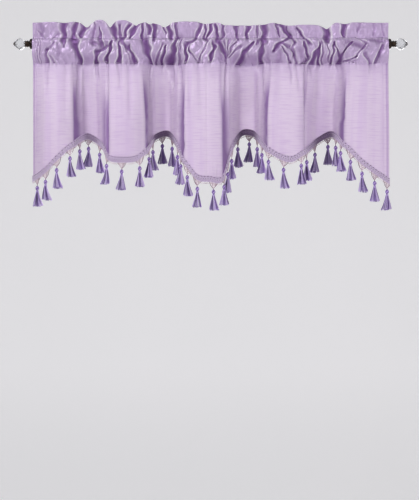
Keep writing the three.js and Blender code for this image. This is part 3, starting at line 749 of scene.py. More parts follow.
class ShaderSketch:
    """Short calls that add and wire shader nodes in one tree."""

    def __init__(self, tree: bpy.types.NodeTree) -> None:
        """Keeps the tree."""
        self.tree = tree

    def put(self, target: bpy.types.NodeSocket, value: object) -> None:
        """Wires a socket to the target, or sets the target's own value."""
        if isinstance(value, bpy.types.NodeSocket):
            self.tree.links.new(value, target)
        elif isinstance(value, tuple) and target.type == "RGBA":
            target.default_value = (*value, 1.0)
        else:
            target.default_value = value

    def node(self, kind: str, **wires: object) -> bpy.types.Node:
        """Adds a node and wires or sets the inputs that are named."""
        made = self.tree.nodes.new(kind)
        for label, value in wires.items():
            self.put(made.inputs[label.replace("_", " ")], value)
        return made

    def math(self, operation: str, a: object, b: object) -> bpy.types.NodeSocket:
        """Output of one sum on two numbers."""
        made = self.tree.nodes.new("ShaderNodeMath")
        made.operation = operation
        self.put(made.inputs[0], a)
        self.put(made.inputs[1], b)
        return made.outputs[0]

    def blend(self, a: object, b: object, share: object) -> bpy.types.NodeSocket:
        """Output of a mix of two colours."""
        made = self.tree.nodes.new("ShaderNodeMix")
        made.data_type = "RGBA"
        self.put(made.inputs["Factor"], share)
        self.put(made.inputs[6], a)
        self.put(made.inputs[7], b)
        return made.outputs[2]

    def stored(self, name: str) -> bpy.types.NodeSocket:
        """Number stored on the mesh."""
        made = self.tree.nodes.new("ShaderNodeAttribute")
        made.attribute_name = name
        return made.outputs["Fac"]

    def ranged(
        self, value: object, low: float, high: float, to_low: float, to_high: float
    ) -> bpy.types.NodeSocket:
        """Output of a value moved from one range to another and held inside it."""
        made = self.tree.nodes.new("ShaderNodeMapRange")
        self.put(made.inputs["Value"], value)
        ends = {"From Min": low, "From Max": high, "To Min": to_low, "To Max": to_high}
        for label, number in ends.items():
            made.inputs[label].default_value = number
        return made.outputs["Result"]

    def flat_noise(
        self, parts: bpy.types.Node, along: object, across: object, **wires: object
    ) -> bpy.types.NodeSocket:
        """Output of a noise on flat places, scaled apart along and across the cloth."""
        place = self.node(
            "ShaderNodeCombineXYZ",
            X=self.math("MULTIPLY", parts.outputs["X"], along),
            Y=self.math("MULTIPLY", parts.outputs["Y"], across),
        )
        noise = self.node("ShaderNodeTexNoise", Vector=place.outputs[0], Scale=1.0, **wires)
        noise.noise_dimensions = "2D"
        return noise.outputs["Fac"]


def shader_group(
    name: str, inputs: Sequence[tuple[str, str, float]], outputs: Sequence[tuple[str, str]]
) -> tuple[bpy.types.NodeTree, ShaderSketch, bpy.types.Node, bpy.types.Node]:
    """A new shader node group with named sockets.

    Args:
        name: the group's name.
        inputs: name, socket type and default value of each input.
        outputs: name and socket type of each output.

    Returns:
        The group, a sketch on it, and its input and output nodes.
    """
    tree = bpy.data.node_groups.new(name, "ShaderNodeTree")
    for label, kind, value in inputs:
        socket = tree.interface.new_socket(label, in_out="INPUT", socket_type=kind)
        if kind == "NodeSocketFloat":
            socket.default_value = value
    for label, kind in outputs:
        tree.interface.new_socket(label, in_out="OUTPUT", socket_type=kind)
    return tree, ShaderSketch(tree), tree.nodes.new("NodeGroupInput"), tree.nodes.new("NodeGroupOutput")


def slub_weave_group() -> bpy.types.NodeTree:
    """Plain weave with thick and thin weft threads, read along the cloth.

    Returns:
        A group that turns flat places on the cloth into a tone, a height, the height
        of crinkles for gathered cloth and a mask of painted shade streaks down the hanging cloth.
    """
    tree, sketch, source, sink = shader_group(
        "Slub Weave",
        [
            ("Place", "NodeSocketVector", 0.0),
            ("Slub Length", "NodeSocketFloat", 24.0),
            ("Threads", "NodeSocketFloat", 420.0),
            ("Grain", "NodeSocketFloat", 1500.0),
        ],
        [
            ("Tone", "NodeSocketFloat"),
            ("Height", "NodeSocketFloat"),
            ("Crinkle", "NodeSocketFloat"),
            ("Streak", "NodeSocketFloat"),
        ],
    )
    parts = sketch.node("ShaderNodeSeparateXYZ", Vector=source.outputs["Place"])
    thread, grain_size = source.outputs["Threads"], source.outputs["Grain"]
    slubs = sketch.flat_noise(parts, source.outputs["Slub Length"], thread, Detail=2.0)
    grain = sketch.flat_noise(parts, grain_size, grain_size, Detail=0.0)
    lines = sketch.ranged(slubs, 0.5, 0.74, 0.0, 1.0)
    height = sketch.math("ADD", lines, sketch.math("MULTIPLY", grain, 0.35))
    pulls = sketch.flat_noise(parts, 48.0, 24.0, Detail=1.0, Distortion=0.6)
    # Painted shade streaks down the hanging cloth, for its soft folds.
    streaks = sketch.flat_noise(parts, 62.0, 2.6, Detail=2.0)
    shade_streak = sketch.ranged(streaks, 0.42, 0.72, 0.0, 1.0)
    for label, value in (("Tone", lines), ("Height", height), ("Crinkle", pulls), ("Streak", shade_streak)):
        tree.links.new(value, sink.inputs[label])
    return tree


def yarn_tone_group() -> bpy.types.NodeTree:
    """Colour of dyed yarn from its stored tone, with painted shade by its depth in the folds.

    Returns:
        A group that turns a tone, a painted shade share and a place into a colour and a height.
    """
    tree, sketch, source, sink = shader_group(
        "Yarn Tone",
        [
            ("Light", "NodeSocketColor", 0.0),
            ("Middle", "NodeSocketColor", 0.0),
            ("Dark", "NodeSocketColor", 0.0),
            ("Tone", "NodeSocketFloat", 0.5),
            ("Depth", "NodeSocketFloat", 0.0),
            ("Fibre", "NodeSocketFloat", 900.0),
        ],
        [("Color", "NodeSocketColor"), ("Height", "NodeSocketFloat")],
    )
    place = sketch.node("ShaderNodeTexCoord")
    fibre = sketch.node(
        "ShaderNodeTexNoise",
        Vector=place.outputs["Object"], Scale=source.outputs["Fibre"], Detail=2.0,
    )
    uneven = sketch.ranged(fibre.outputs["Fac"], 0.3, 0.7, -0.14, 0.14)
    tone = sketch.math("ADD", source.outputs["Tone"], uneven)
    dark_half = sketch.ranged(tone, 0.0, 0.5, 0.0, 1.0)
    light_half = sketch.ranged(tone, 0.5, 1.0, 0.0, 1.0)
    color = sketch.blend(source.outputs["Dark"], source.outputs["Middle"], dark_half)
    color = sketch.blend(color, source.outputs["Light"], light_half)
    # Painted shade: darker towards the back of the folds.
    color = sketch.blend(color, source.outputs["Dark"], source.outputs["Depth"])
    tree.links.new(color, sink.inputs["Color"])
    tree.links.new(fibre.outputs["Fac"], sink.inputs["Height"])
    return tree


def rubbed_metal_group() -> bpy.types.NodeTree:
    """Uneven polish of a dark plated metal.

    Returns:
        A group that puts out a mask of the rubbed places and a roughness.
    """
    tree, sketch, source, sink = shader_group(
        "Rubbed Metal",
        [
            ("Scale", "NodeSocketFloat", 90.0),
            ("Low", "NodeSocketFloat", 0.25),
            ("High", "NodeSocketFloat", 0.5),
        ],
        [("Mask", "NodeSocketFloat"), ("Roughness", "NodeSocketFloat")],
    )
    place = sketch.node("ShaderNodeTexCoord")
    cloud = sketch.node(
        "ShaderNodeTexNoise", Vector=place.outputs["Object"], Scale=source.outputs["Scale"], Detail=4.0
    )
    mask = sketch.ranged(cloud.outputs["Fac"], 0.45, 0.75, 0.0, 1.0)
    span = sketch.math("SUBTRACT", source.outputs["High"], source.outputs["Low"])
    rough = sketch.math("ADD", source.outputs["Low"], sketch.math("MULTIPLY", cloud.outputs["Fac"], span))
    tree.links.new(mask, sink.inputs["Mask"])
    tree.links.new(rough, sink.inputs["Roughness"])
    return tree


def blank_material(name: str) -> tuple[bpy.types.Material, ShaderSketch, bpy.types.Node, bpy.types.Node]:
    """A new material with a Principled shader on its output.

    Returns:
        The material, a sketch on its tree, its shader and its output node.
    """
    material = bpy.data.materials.new(name)
    material.use_nodes = True
    tree = material.node_tree
    tree.nodes.clear()
    output = tree.nodes.new("ShaderNodeOutputMaterial")
    shader = tree.nodes.new("ShaderNodeBsdfPrincipled")
    tree.links.new(shader.outputs["BSDF"], output.inputs["Surface"])
    return material, ShaderSketch(tree), shader, output


@dataclass(frozen=True)
class SilkFinish:
    """Thin lilac faux silk with slubs, a soft sheen and some light through it."""

    single: Rgb = linear(218, 207, 221)
    double: Rgb = linear(204, 180, 218)
    # Painted shade on the fold walls, also used for the darker line along the side hems.
    wall: Rgb = linear(140, 94, 170)
    # Painted shade in the creases.
    hollow: Rgb = linear(116, 70, 138)
    # Painted shade in the sunk recesses of the gathers.
    deep_shade: Rgb = linear(62, 30, 84)
    # Painted highlight on the lips and ridges.
    lip: Rgb = linear(250, 242, 252)
    slub: Rgb = linear(192, 168, 204)
    # Painted shade streaks down the hanging cloth.
    shade_streak: Rgb = linear(186, 154, 206)
    through: Rgb = linear(233, 224, 235)
    roughness: float = 0.62
    doubled_roughness: float = 0.47
    translucency: float = 0.54
    doubled_translucency: float = 0.16
    bump: float = 0.25
    crinkle: float = 0.22
    lustre: float = 0.16
    doubled_lustre: float = 0.36

    def material(self, weave: bpy.types.NodeTree) -> bpy.types.Material:
        """Builds the material on the shared weave."""
        material, sketch, shader, output = blank_material("lilac faux silk")
        uv = sketch.node("ShaderNodeUVMap")
        uv.uv_map = "cloth"
        woven = sketch.node("ShaderNodeGroup")
        woven.node_tree = weave
        sketch.put(woven.inputs["Place"], uv.outputs["UV"])
        # Colour of single and doubled cloth, with painted shade below the pocket seam.
        color = sketch.blend(self.single, self.double, sketch.stored("layers"))
        # Painted shade streaks on the single cloth.
        single_share = sketch.ranged(sketch.stored("layers"), 0.0, 0.9, 0.2, 0.0)
        shade_streaked = sketch.math("MULTIPLY", woven.outputs["Streak"], single_share)
        color = sketch.blend(color, self.shade_streak, shade_streaked)
        faint = sketch.math("MULTIPLY", woven.outputs["Tone"], 0.5)
        color = sketch.blend(color, self.slub, faint)
        # Painted shade on the fold walls, and a darker line along the side hems.
        color = sketch.blend(color, self.wall, sketch.stored("wall"))
        # Painted shade in the creases.
        color = sketch.blend(color, self.hollow, sketch.stored("hollow"))
        # Painted shade in the sunk recesses of the gathers.
        color = sketch.blend(color, self.deep_shade, sketch.stored("deep_shade"))
        # Painted highlight on the lips and ridges.
        color = sketch.blend(color, self.lip, sketch.stored("lip"))
        creased = sketch.node(
            "ShaderNodeBump",
            Height=woven.outputs["Crinkle"],
            Strength=sketch.math("MULTIPLY", sketch.stored("layers"), self.crinkle),
            Distance=0.02,
        )
        bump = sketch.node(
            "ShaderNodeBump",
            Height=woven.outputs["Height"],
            Strength=self.bump,
            Distance=0.0003,
            Normal=creased.outputs["Normal"],
        )
        sketch.put(shader.inputs["Base Color"], color)
        sketch.put(shader.inputs["Normal"], bump.outputs["Normal"])
        layers = sketch.stored("layers")
        rough = sketch.ranged(layers, 0.0, 1.0, self.roughness, self.doubled_roughness)
        sketch.put(shader.inputs["Roughness"], rough)
        lustre = sketch.ranged(layers, 0.0, 1.0, self.lustre, self.doubled_lustre)
        sketch.put(shader.inputs["Metallic"], lustre)
        shader.inputs["Sheen Weight"].default_value = 0.15
        shader.inputs["Sheen Roughness"].default_value = 0.4
        glow = sketch.node("ShaderNodeBsdfTranslucent")
        sketch.put(glow.inputs["Color"], sketch.blend(color, self.through, 0.35))
        blend = sketch.node("ShaderNodeMixShader")
        through = sketch.ranged(layers, 0.0, 1.0, self.translucency, self.doubled_translucency)
        sketch.put(blend.inputs[0], through)
        sketch.tree.links.new(shader.outputs["BSDF"], blend.inputs[1])
        sketch.tree.links.new(glow.outputs["BSDF"], blend.inputs[2])
        sketch.tree.links.new(blend.outputs["Shader"], output.inputs["Surface"])
        return material


@dataclass(frozen=True)
class YarnFinish:
    """Dyed yarn in three tones."""

    name: str
    light: Rgb
    middle: Rgb
    dark: Rgb
    fibre: float = 900.0
    roughness: float = 0.5
    sheen: float = 0.3
    bump: float = 0.3

    def material(self, yarn: bpy.types.NodeTree) -> bpy.types.Material:
        """Builds the material on the shared yarn tones."""
        material, sketch, shader, _ = blank_material(self.name)
        spun = sketch.node("ShaderNodeGroup")
        spun.node_tree = yarn
        sketch.put(spun.inputs["Light"], self.light)
        sketch.put(spun.inputs["Middle"], self.middle)
        sketch.put(spun.inputs["Dark"], self.dark)
        sketch.put(spun.inputs["Tone"], sketch.stored("tone"))
        # Painted shade, stored as depth in the folds.
        sketch.put(spun.inputs["Depth"], sketch.stored("depth"))
        spun.inputs["Fibre"].default_value = self.fibre
        bump = sketch.node(
            "ShaderNodeBump", Height=spun.outputs["Height"], Strength=self.bump, Distance=0.0004
        )
        sketch.put(shader.inputs["Base Color"], spun.outputs["Color"])
        sketch.put(shader.inputs["Normal"], bump.outputs["Normal"])
        shader.inputs["Roughness"].default_value = self.roughness
        shader.inputs["Sheen Weight"].default_value = self.sheen
        return material


@dataclass(frozen=True)
class MetalFinish:
    """Dark plated metal with rubbed places."""

    name: str
    base: Rgb
    rubbed: Rgb
    low: float
    high: float
    scale: float = 90.0

    def material(self, metal: bpy.types.NodeTree) -> bpy.types.Material:
        """Builds the material on the shared polish."""
        material, sketch, shader, _ = blank_material(self.name)
        worn = sketch.node("ShaderNodeGroup")
        worn.node_tree = metal
        worn.inputs["Scale"].default_value = self.scale
        worn.inputs["Low"].default_value = self.low
        worn.inputs["High"].default_value = self.high
        color = sketch.blend(self.base, self.rubbed, sketch.math("MULTIPLY", worn.outputs["Mask"], 0.5))
        sketch.put(shader.inputs["Base Color"], color)
        sketch.put(shader.inputs["Roughness"], worn.outputs["Roughness"])
        shader.inputs["Metallic"].default_value = 0.85
        return material


@dataclass(frozen=True)
class CrystalFinish:
    """Clear cut acrylic with faint inner cloudiness."""

    tint: Rgb = (0.9, 0.91, 0.93)
    cloud: Rgb = (0.74, 0.76, 0.79)
    roughness: float = 0.02
    ior: float = 1.49

    def material(self) -> bpy.types.Material:
        """Builds the material."""
        material, sketch, shader, _ = blank_material("clear cut acrylic")
        place = sketch.node("ShaderNodeTexCoord")
        haze = sketch.node("ShaderNodeTexNoise", Vector=place.outputs["Object"], Scale=140.0, Detail=2.0)
        cloudy = sketch.ranged(haze.outputs["Fac"], 0.4, 0.8, 0.0, 0.6)
        color = sketch.blend(self.tint, self.cloud, cloudy)
        sketch.put(shader.inputs["Base Color"], color)
        shader.inputs["Roughness"].default_value = self.roughness
        shader.inputs["Transmission Weight"].default_value = 1.0
        shader.inputs["IOR"].default_value = self.ior
        return material


@dataclass
class ValancePanel:
    """The cloth: hanging sheet, rod pocket and ruffled header in one closed shell."""

    drape: Drape
    columns: int = 672
    pocket_rows: int = 33
    header_rows: int = 17
    back_header_rows: int = 9
    thickness: float = 0.6
    hem_thickness: float = 1.1
    side_hem: float = 9.0
    seam_top: float = 13.5
    reach: float = 17.0
    tight: float = 9.2
    back_reach: float = 10.9
    back_wave: float = 3.0
    back_pitch: float = 36.0
    crown_start: float = 3.0
    crown_rise: float = 10.7
    rod_hug: float = 8.55
    header_lean: float = 3.0
    header_thickness: float = 2.6
    pocket_wave: float = 1.5
    gather_wave: float = 1.3
    # How far below the pocket seam the painted shade fades out.
    seam_shade_reach: float = 52.0
    flat_length: float = 495.0
    flat_area: float = 0.5
    sheet_rows: tuple[float, ...] = (
        1, 0.972, 0.94, 0.905, 0.865, 0.82, 0.77, 0.72, 0.665, 0.61, 0.555, 0.5, 0.445,
        0.39, 0.335, 0.285, 0.235, 0.19, 0.15, 0.11, 0.075, 0.045, 0.02, 0,
    )
    back_pocket_z: tuple[float, ...] = (-44, -34, -24, -14, -4, 4, 9, 12)
    channel_front_z: tuple[float, ...] = (-44, -38, -32, -26, -20, -14, -8, -3, 2, 6.2)
    channel_back_z: tuple[float, ...] = (-40, -26, -12, -2, 5.5)

    def __post_init__(self) -> None:
        """Places the columns and gathers the creases."""
        self.s = np.linspace(0, self.drape.width, self.columns)
        self.seam = self.drape.middle(self.s, 0.0)
        self.relief = Relief(HEADER_CREASES + POCKET_CREASES + SHEET_CREASES)
        x = self.seam[:, 0]
        self.top = through([p[0] for p in TOP_EDGE], [p[1] for p in TOP_EDGE], x)
        self.half = self.thickness / 2 + (self.hem_thickness - self.thickness) / 2 * smoothstep(
            np.minimum(self.s, self.drape.width - self.s), self.side_hem + 1.5, self.side_hem
        )

    def bulge(self, z: Array) -> Array:
        """How far the pocket stands out at a height, as a share of its reach."""
        rise = np.clip((np.asarray(z, float) - self.crown_start) / self.crown_rise, 0, 1)
        return np.sqrt(np.maximum(1 - rise**2, 0.036))

    def upper_front(self, z: Array) -> tuple[Array, Array, Array]:
        """Front of the pocket and header.

        Args:
            z: heights, as rows x columns.

        Returns:
            The front's y, and masks of its hollows and lips, for painted shade and painted highlight.
        """
        x = np.broadcast_to(self.seam[:, 0], z.shape)
        press, hollow, lip = self.relief.at(x, z)
        out = -self.reach * self.bulge(z)
        base = mix(self.seam[:, 1], out, smoothstep(z, self.drape.seam_z, -22))
        share = np.clip((z - self.seam_top) / (self.top - self.seam_top), 0, 1)
        base = base - self.header_lean * share
        grip = mix(1, 0.5, smoothstep(z, 2, self.seam_top)) + 0.5 * smoothstep(z, self.seam_top, 22)
        y = base - self.half + press * grip
        rod_front = -np.sqrt(np.maximum(self.tight**2 - z**2, 0.64))
        below_rod = mix(self.seam[:, 1] + 12, -3.0, smoothstep(z, -50, -12))
        limit = np.where(z < -self.tight, below_rod, rod_front)
        limit = np.where(z > self.seam_top - 1, 30.0, limit)
        return np.minimum(y, limit), hollow, lip

    def upper_back(self, z: Array) -> Array:
        """Back of the rod pocket at some heights, always behind its front."""
        x = self.seam[:, 0]
        wave = self.back_wave * 0.5 * (1 + np.cos(2 * np.pi * x / self.back_pitch + 1.3 * np.sin(x / 90)))
        away = (self.back_reach + wave) * self.bulge(z)
        front_seam, _, _ = self.upper_front(np.full_like(z, self.drape.seam_z))
        y = mix(front_seam + 2 * self.half, away, smoothstep(z, self.drape.seam_z, -16))
        nearest = np.max([self.upper_front(z + step)[0] for step in (-4, -2, 0, 2, 4)], axis=0)
        return np.maximum(y, nearest + 1.4)

    def sheet_rows_at(self) -> tuple[Array, Array, Array, Array, Array]:
        """Front and back of the hanging sheet, with the masks of its folds for painted shade and painted
        highlight.

        Returns:
            Front points, back points, hollows, lips and how far each place is
            turned sideways.
        """
        down = np.array(self.sheet_rows)[:, None]
        s = self.s[None, :]
        middle = self.drape.middle(s, down)
        normal = self.drape.normal(s, down, step=2.5)
        ahead = np.zeros_like(normal)
        ahead[..., 1] = -1
        facing = unit(mix(ahead, normal, smoothstep(down, 0, 0.12)[..., None]))
        press, hollow, lip = self.relief.at(middle[..., 0], middle[..., 2])
        middle = middle - facing * press[..., None]
        half = np.broadcast_to(self.half, press.shape)[..., None]
        turned = 1 - np.abs(normal[..., 1])
        return middle + facing * half, middle - facing * half, hollow, lip, turned

    def build(self, material: bpy.types.Material) -> bpy.types.Object:
        """Makes the cloth's mesh with its flat map and its masks of painted shade and painted highlight.

        Args:
            material: the silk.

        Returns:
            The cloth.
        """
        x = self.seam[:, 0]
        count = self.columns
        front, back, hollow, lip, turned = self.sheet_rows_at()

        def upper_rows(z: Array, y: Array) -> Array:
            """Points of some rows above the pocket seam."""
            return np.stack([np.broadcast_to(x, z.shape), y, z], axis=-1)

        rise = np.linspace(0, 1, self.pocket_rows + 1)[1:, None]
        pocket_z = mix(self.drape.seam_z, self.seam_top, rise) + 0 * x[None, :]
        share = np.linspace(0, 1, self.header_rows + 1)[1:, None]
        header_z = mix(self.seam_top, self.top[None, :], share)
        z = np.concatenate([pocket_z, header_z])
        y, upper_shade_mask, upper_highlight_mask = self.upper_front(z)
        front = np.concatenate([front, upper_rows(z, y)])

        back_z = np.array(self.back_pocket_z)[:, None] + 0 * x[None, :]
        pocket_back = upper_rows(back_z, self.upper_back(back_z))
        back_share = np.linspace(0, 1, self.back_header_rows)[:, None]
        back_header_z = mix(self.seam_top, self.top[None, :], back_share)
        behind = np.max([self.upper_front(back_header_z + step)[0] for step in (-2, 0, 2)], axis=0)
        header_back = upper_rows(back_header_z, behind + self.header_thickness)
        back = np.concatenate([back, pocket_back, header_back])

        channel_z = np.array(self.channel_front_z)[:, None] + 0 * x[None, :]
        near = np.max([self.upper_front(channel_z + step)[0] for step in (-3.5, -1.5, 0, 1.5, 3.5)], axis=0)
        hug = smoothstep(channel_z, -6, 4)
        ring = np.sqrt(np.maximum(self.rod_hug**2 - channel_z**2, 1))
        channel_front = upper_rows(channel_z, mix(near + 0.55, -ring, hug))
        channel_z = np.array(self.channel_back_z)[:, None] + 0 * x[None, :]
        ring = np.sqrt(np.maximum(self.rod_hug**2 - channel_z**2, 1))
        hug = smoothstep(channel_z, -6, 4)
        channel_back = upper_rows(channel_z, mix(self.upper_back(channel_z) - 0.55, ring, hug))
        floor_y = (front[len(self.sheet_rows) - 1, :, 1] + back[len(self.sheet_rows) - 1, :, 1]) / 2
        floor = np.stack([x, floor_y, np.full_like(x, self.drape.seam_z + 2.2)], axis=-1)[None]
        crown = np.stack([x, 0 * x, np.full_like(x, self.rod_hug)], axis=-1)[None]

        outer = np.concatenate([front, back[::-1]])
        channel = np.concatenate([floor, channel_front, crown, channel_back[::-1]])
        rows = np.concatenate([outer, channel])
        loops = [(0, len(outer)), (len(outer), len(channel))]
        faces = []
        column = np.arange(count - 1)
        for start, size in loops:
            for j in range(size):
                low = (start + j) * count + column
                high = (start + (j + 1) % size) * count + column
                faces.extend(np.stack([low, low + 1, high + 1, high], axis=1).tolist())

        sheet = len(self.sheet_rows)
        pocket_top = sheet + self.pocket_rows - 1
        front_rows = list(range(len(front)))
        back_rows = [len(outer) - 1 - j for j in range(len(back))]
        ring_rows = list(range(len(outer), len(rows)))
        inner_front = ring_rows[: len(channel_front) + 2]
        inner_back = [ring_rows[0], *ring_rows[: len(channel_front) : -1]]
        back_top = sheet + len(pocket_back)
        for end in (0, count - 1):
            def at(found: Sequence[int]) -> list[int]:
                """Corner numbers of rows at this end."""
                return [j * count + end for j in found]
            faces += strip_between(at(front_rows[:sheet]), at(back_rows[:sheet]))
            faces.append(at([front_rows[sheet - 1], ring_rows[0], back_rows[sheet - 1]]))
            faces += strip_between(at(front_rows[sheet - 1 : pocket_top + 1]), at(inner_front))
            faces += strip_between(at(back_rows[sheet - 1 : back_top + 1]), at(inner_back))
            faces.append(at([inner_front[-1], front_rows[pocket_top], back_rows[back_top]]))
            faces += strip_between(at(front_rows[pocket_top:]), at(back_rows[back_top:]))

        cut_z = rows[..., 2].copy()
        rows[..., 2] += self.seam_wave(rows)
        front = front.copy()
        front[..., 2] += self.seam_wave(front)
        obj = mesh_object("cloth_valance", rows.reshape(-1, 3), faces)
        outward(obj)
        dress(obj, material)
        self.front_rows = front
        self.map_cloth(obj, cut_z)
        self.store_masks(obj, front, cut_z, hollow, lip, turned, upper_shade_mask, upper_highlight_mask)
        return obj

    def seam_wave(self, points: Array) -> Array:
        """How far the two seams wander up and down, with the cloth around them."""
        x, z = points[..., 0], points[..., 2]
        low = np.sin(x / 23 + 1.1) + 0.6 * np.sin(x / 9.1 + 0.4)
        high = np.sin(x / 12.5) + 0.6 * np.sin(x / 5.6 + 1.7)
        return (
            self.pocket_wave * low * np.exp(-(((z - self.drape.seam_z) / 9) ** 2))
            + self.gather_wave * high * np.exp(-(((z - self.seam_top) / 3.2) ** 2))
        )

    def map_cloth(self, obj: bpy.types.Object, cut_z: Array) -> None:
        """Stores the flat map: distance along the cloth and height, in metres."""
        place = np.stack([np.broadcast_to(self.s, cut_z.shape), cut_z], axis=-1).reshape(-1, 2) * MM
        corner = np.zeros(len(obj.data.loops), np.int32)
        obj.data.loops.foreach_get("vertex_index", corner)
        layer = obj.data.uv_layers.new(name="cloth")
        layer.data.foreach_set("uv", place[corner].astype(np.float32).ravel())

    def store_masks(
        self, obj: bpy.types.Object, front: Array, cut_z: Array, hollow: Array, lip: Array,
        turned: Array, upper_shade_mask: Array, upper_highlight_mask: Array,
    ) -> None:
        """Stores where the cloth is doubled, and masks of painted shade in its hollows, on its fold walls,
        in its sunk recesses and below the pocket seam, and of painted highlight on its lips.

        Args:
            obj: the cloth.
            front: its front rows.
            cut_z: height of every row before the seams wander.
            hollow: hollows of the sheet's rows.
            lip: lips of the sheet's rows.
            turned: how far the sheet's rows are turned sideways.
            upper_shade_mask: hollows of the rows above the seam.
            upper_highlight_mask: lips of the rows above the seam.
        """
        sheet = len(self.sheet_rows)
        near = front[..., 1]
        wide = near - self.evened(near, 14.0)
        cavity = near - self.evened(near, 4.5)
        sunk = smoothstep(wide[sheet:], 0.5, 6.0)
        # Painted shade on the fold walls: where a wall turns sideways, strongest towards the front of the
        # fold and none near the side edges.
        forward = 1 - smoothstep(near[:sheet], -26, 4)
        from_side = np.minimum(self.s, self.drape.width - self.s)
        wall = smoothstep(turned, 0.2, 0.55) * forward * smoothstep(from_side, 55, 85)
        # Painted highlight on the forward ridges of the sheet.
        ridge = smoothstep(-wide[:sheet], 2.0, 9.0) * (1 - wall)
        # Painted shade in the hollows: faint on the sheet, strong in the gathers above the seam, with their
        # smaller cavities.
        hollows = np.concatenate([
            0.14 * hollow * (1 - wall),
            np.clip(0.95 * upper_shade_mask + 0.35 * smoothstep(cavity[sheet:], 0.2, 1.4), 0, 1),
        ])
        # Painted highlight on the lips, the sheet's ridges and the raised places of the gathers.
        raised = smoothstep(-cavity[sheet:], 0.2, 1.1)
        lips = np.concatenate([
            np.clip(0.6 * lip + 0.8 * ridge, 0, 1),
            np.clip(0.8 * upper_highlight_mask + 0.65 * raised, 0, 1),
        ]) * (1 - hollows)
        # Painted shade in the sunk hollows of the gathers, and a little on the fold walls.
        deep_shades = np.concatenate([
            0.12 * wall,
            0.75 * smoothstep(upper_shade_mask * sunk, 0.4, 1.0),
        ])
        # A darker line along each side hem, stored with the painted fold-wall shade.
        side_line = 0.6 * np.exp(-(((from_side - 5.5) / 2.4) ** 2)) * np.ones_like(hollow)
        wall_shade_and_hem_line = np.concatenate([np.clip(0.9 * wall + side_line, 0, 1), np.zeros_like(upper_shade_mask)])
        for name, mask in (("wall", wall_shade_and_hem_line), ("hollow", hollows), ("lip", lips), ("deep_shade", deep_shades)):
            whole = np.zeros(cut_z.shape)
            whole[: len(mask)] = mask
            # Painted shade over the back and the rod channel, with the front's painted shade of the sheet
            # repeated on its back.
            if name == "hollow":
                whole[len(front) :] = 0.3
                back_end = len(cut_z) - self.channel_count()
                back_sheet = slice(back_end - sheet, back_end)
                whole[back_sheet] = hollows[:sheet][::-1]
            set_values(obj, name, whole)
        # Doubled cloth above the pocket seam, and painted shade fading out below it.
        seam_z = self.drape.seam_z
        doubled = smoothstep(cut_z, seam_z - 0.8, seam_z + 0.4)
        seam_shade = smoothstep(cut_z, seam_z - self.seam_shade_reach, seam_z)
        set_values(obj, "layers", 0.62 * doubled + 0.38 * seam_shade)

    def evened(self, rows: Array, radius: float) -> Array:
        """The rows with every value replaced by the mean around it.

        Args:
            rows: values as rows x columns.
            radius: how far the mean reaches, in millimetres.

        Returns:
            The evened values.
        """
        step = float(np.mean(np.diff(self.seam[:, 0])))
        for axis, count in ((1, int(round(radius / step))), (0, int(round(radius / 2.5)))):
            kernel = np.exp(-(np.linspace(-2, 2, 2 * count + 1) ** 2))
            kernel /= kernel.sum()
            lines = rows if axis else rows.T
            padded = np.pad(lines, ((0, 0), (count, count)), mode="edge")
            lines = np.stack([np.convolve(line, kernel, "valid") for line in padded])
            rows = lines if axis else lines.T
        return rows

    def channel_count(self) -> int:
        """Rows in the loop of the rod channel."""
        return len(self.channel_front_z) + len(self.channel_back_z) + 2

    def stitch_guides(self, spacing: float = 2.9) -> tuple[Array, Array]:
        """Places and directions of the stitches along the seams and side hems.

        Args:
            spacing: distance from one stitch to the next.

        Returns:
            Middle of each stitch and the way it lies.
        """
        sheet = len(self.sheet_rows)
        lines = [
            self.front_rows[sheet + self.pocket_rows - 1],
            self.front_rows[sheet - 1],
            self.front_rows[sheet - 1] + np.array([0, 0, 5.0]),
            self.front_rows[: sheet, int(self.side_hem / self.drape.width * self.columns)],
            self.front_rows[: sheet, -1 - int(self.side_hem / self.drape.width * self.columns)],
        ]
        lines[2][:, 1] = self.upper_front(lines[2][None, :, 2])[0][0] - 0.1
        places, lays = [], []
        for line in lines:
            steps = np.linalg.norm(np.diff(line, axis=0), axis=1)
            walked = np.concatenate([[0], np.cumsum(steps)])
            stops = np.arange(spacing, walked[-1] - spacing, spacing)
            at = np.stack([np.interp(stops, walked, line[:, i]) for i in range(3)], axis=-1)
            ahead = np.stack([np.interp(stops + 0.6, walked, line[:, i]) for i in range(3)], axis=-1)
            at[:, 1] -= 0.05
            places.append(at)
            lays.append(unit(ahead - at))
        return np.concatenate(places), np.concatenate(lays)


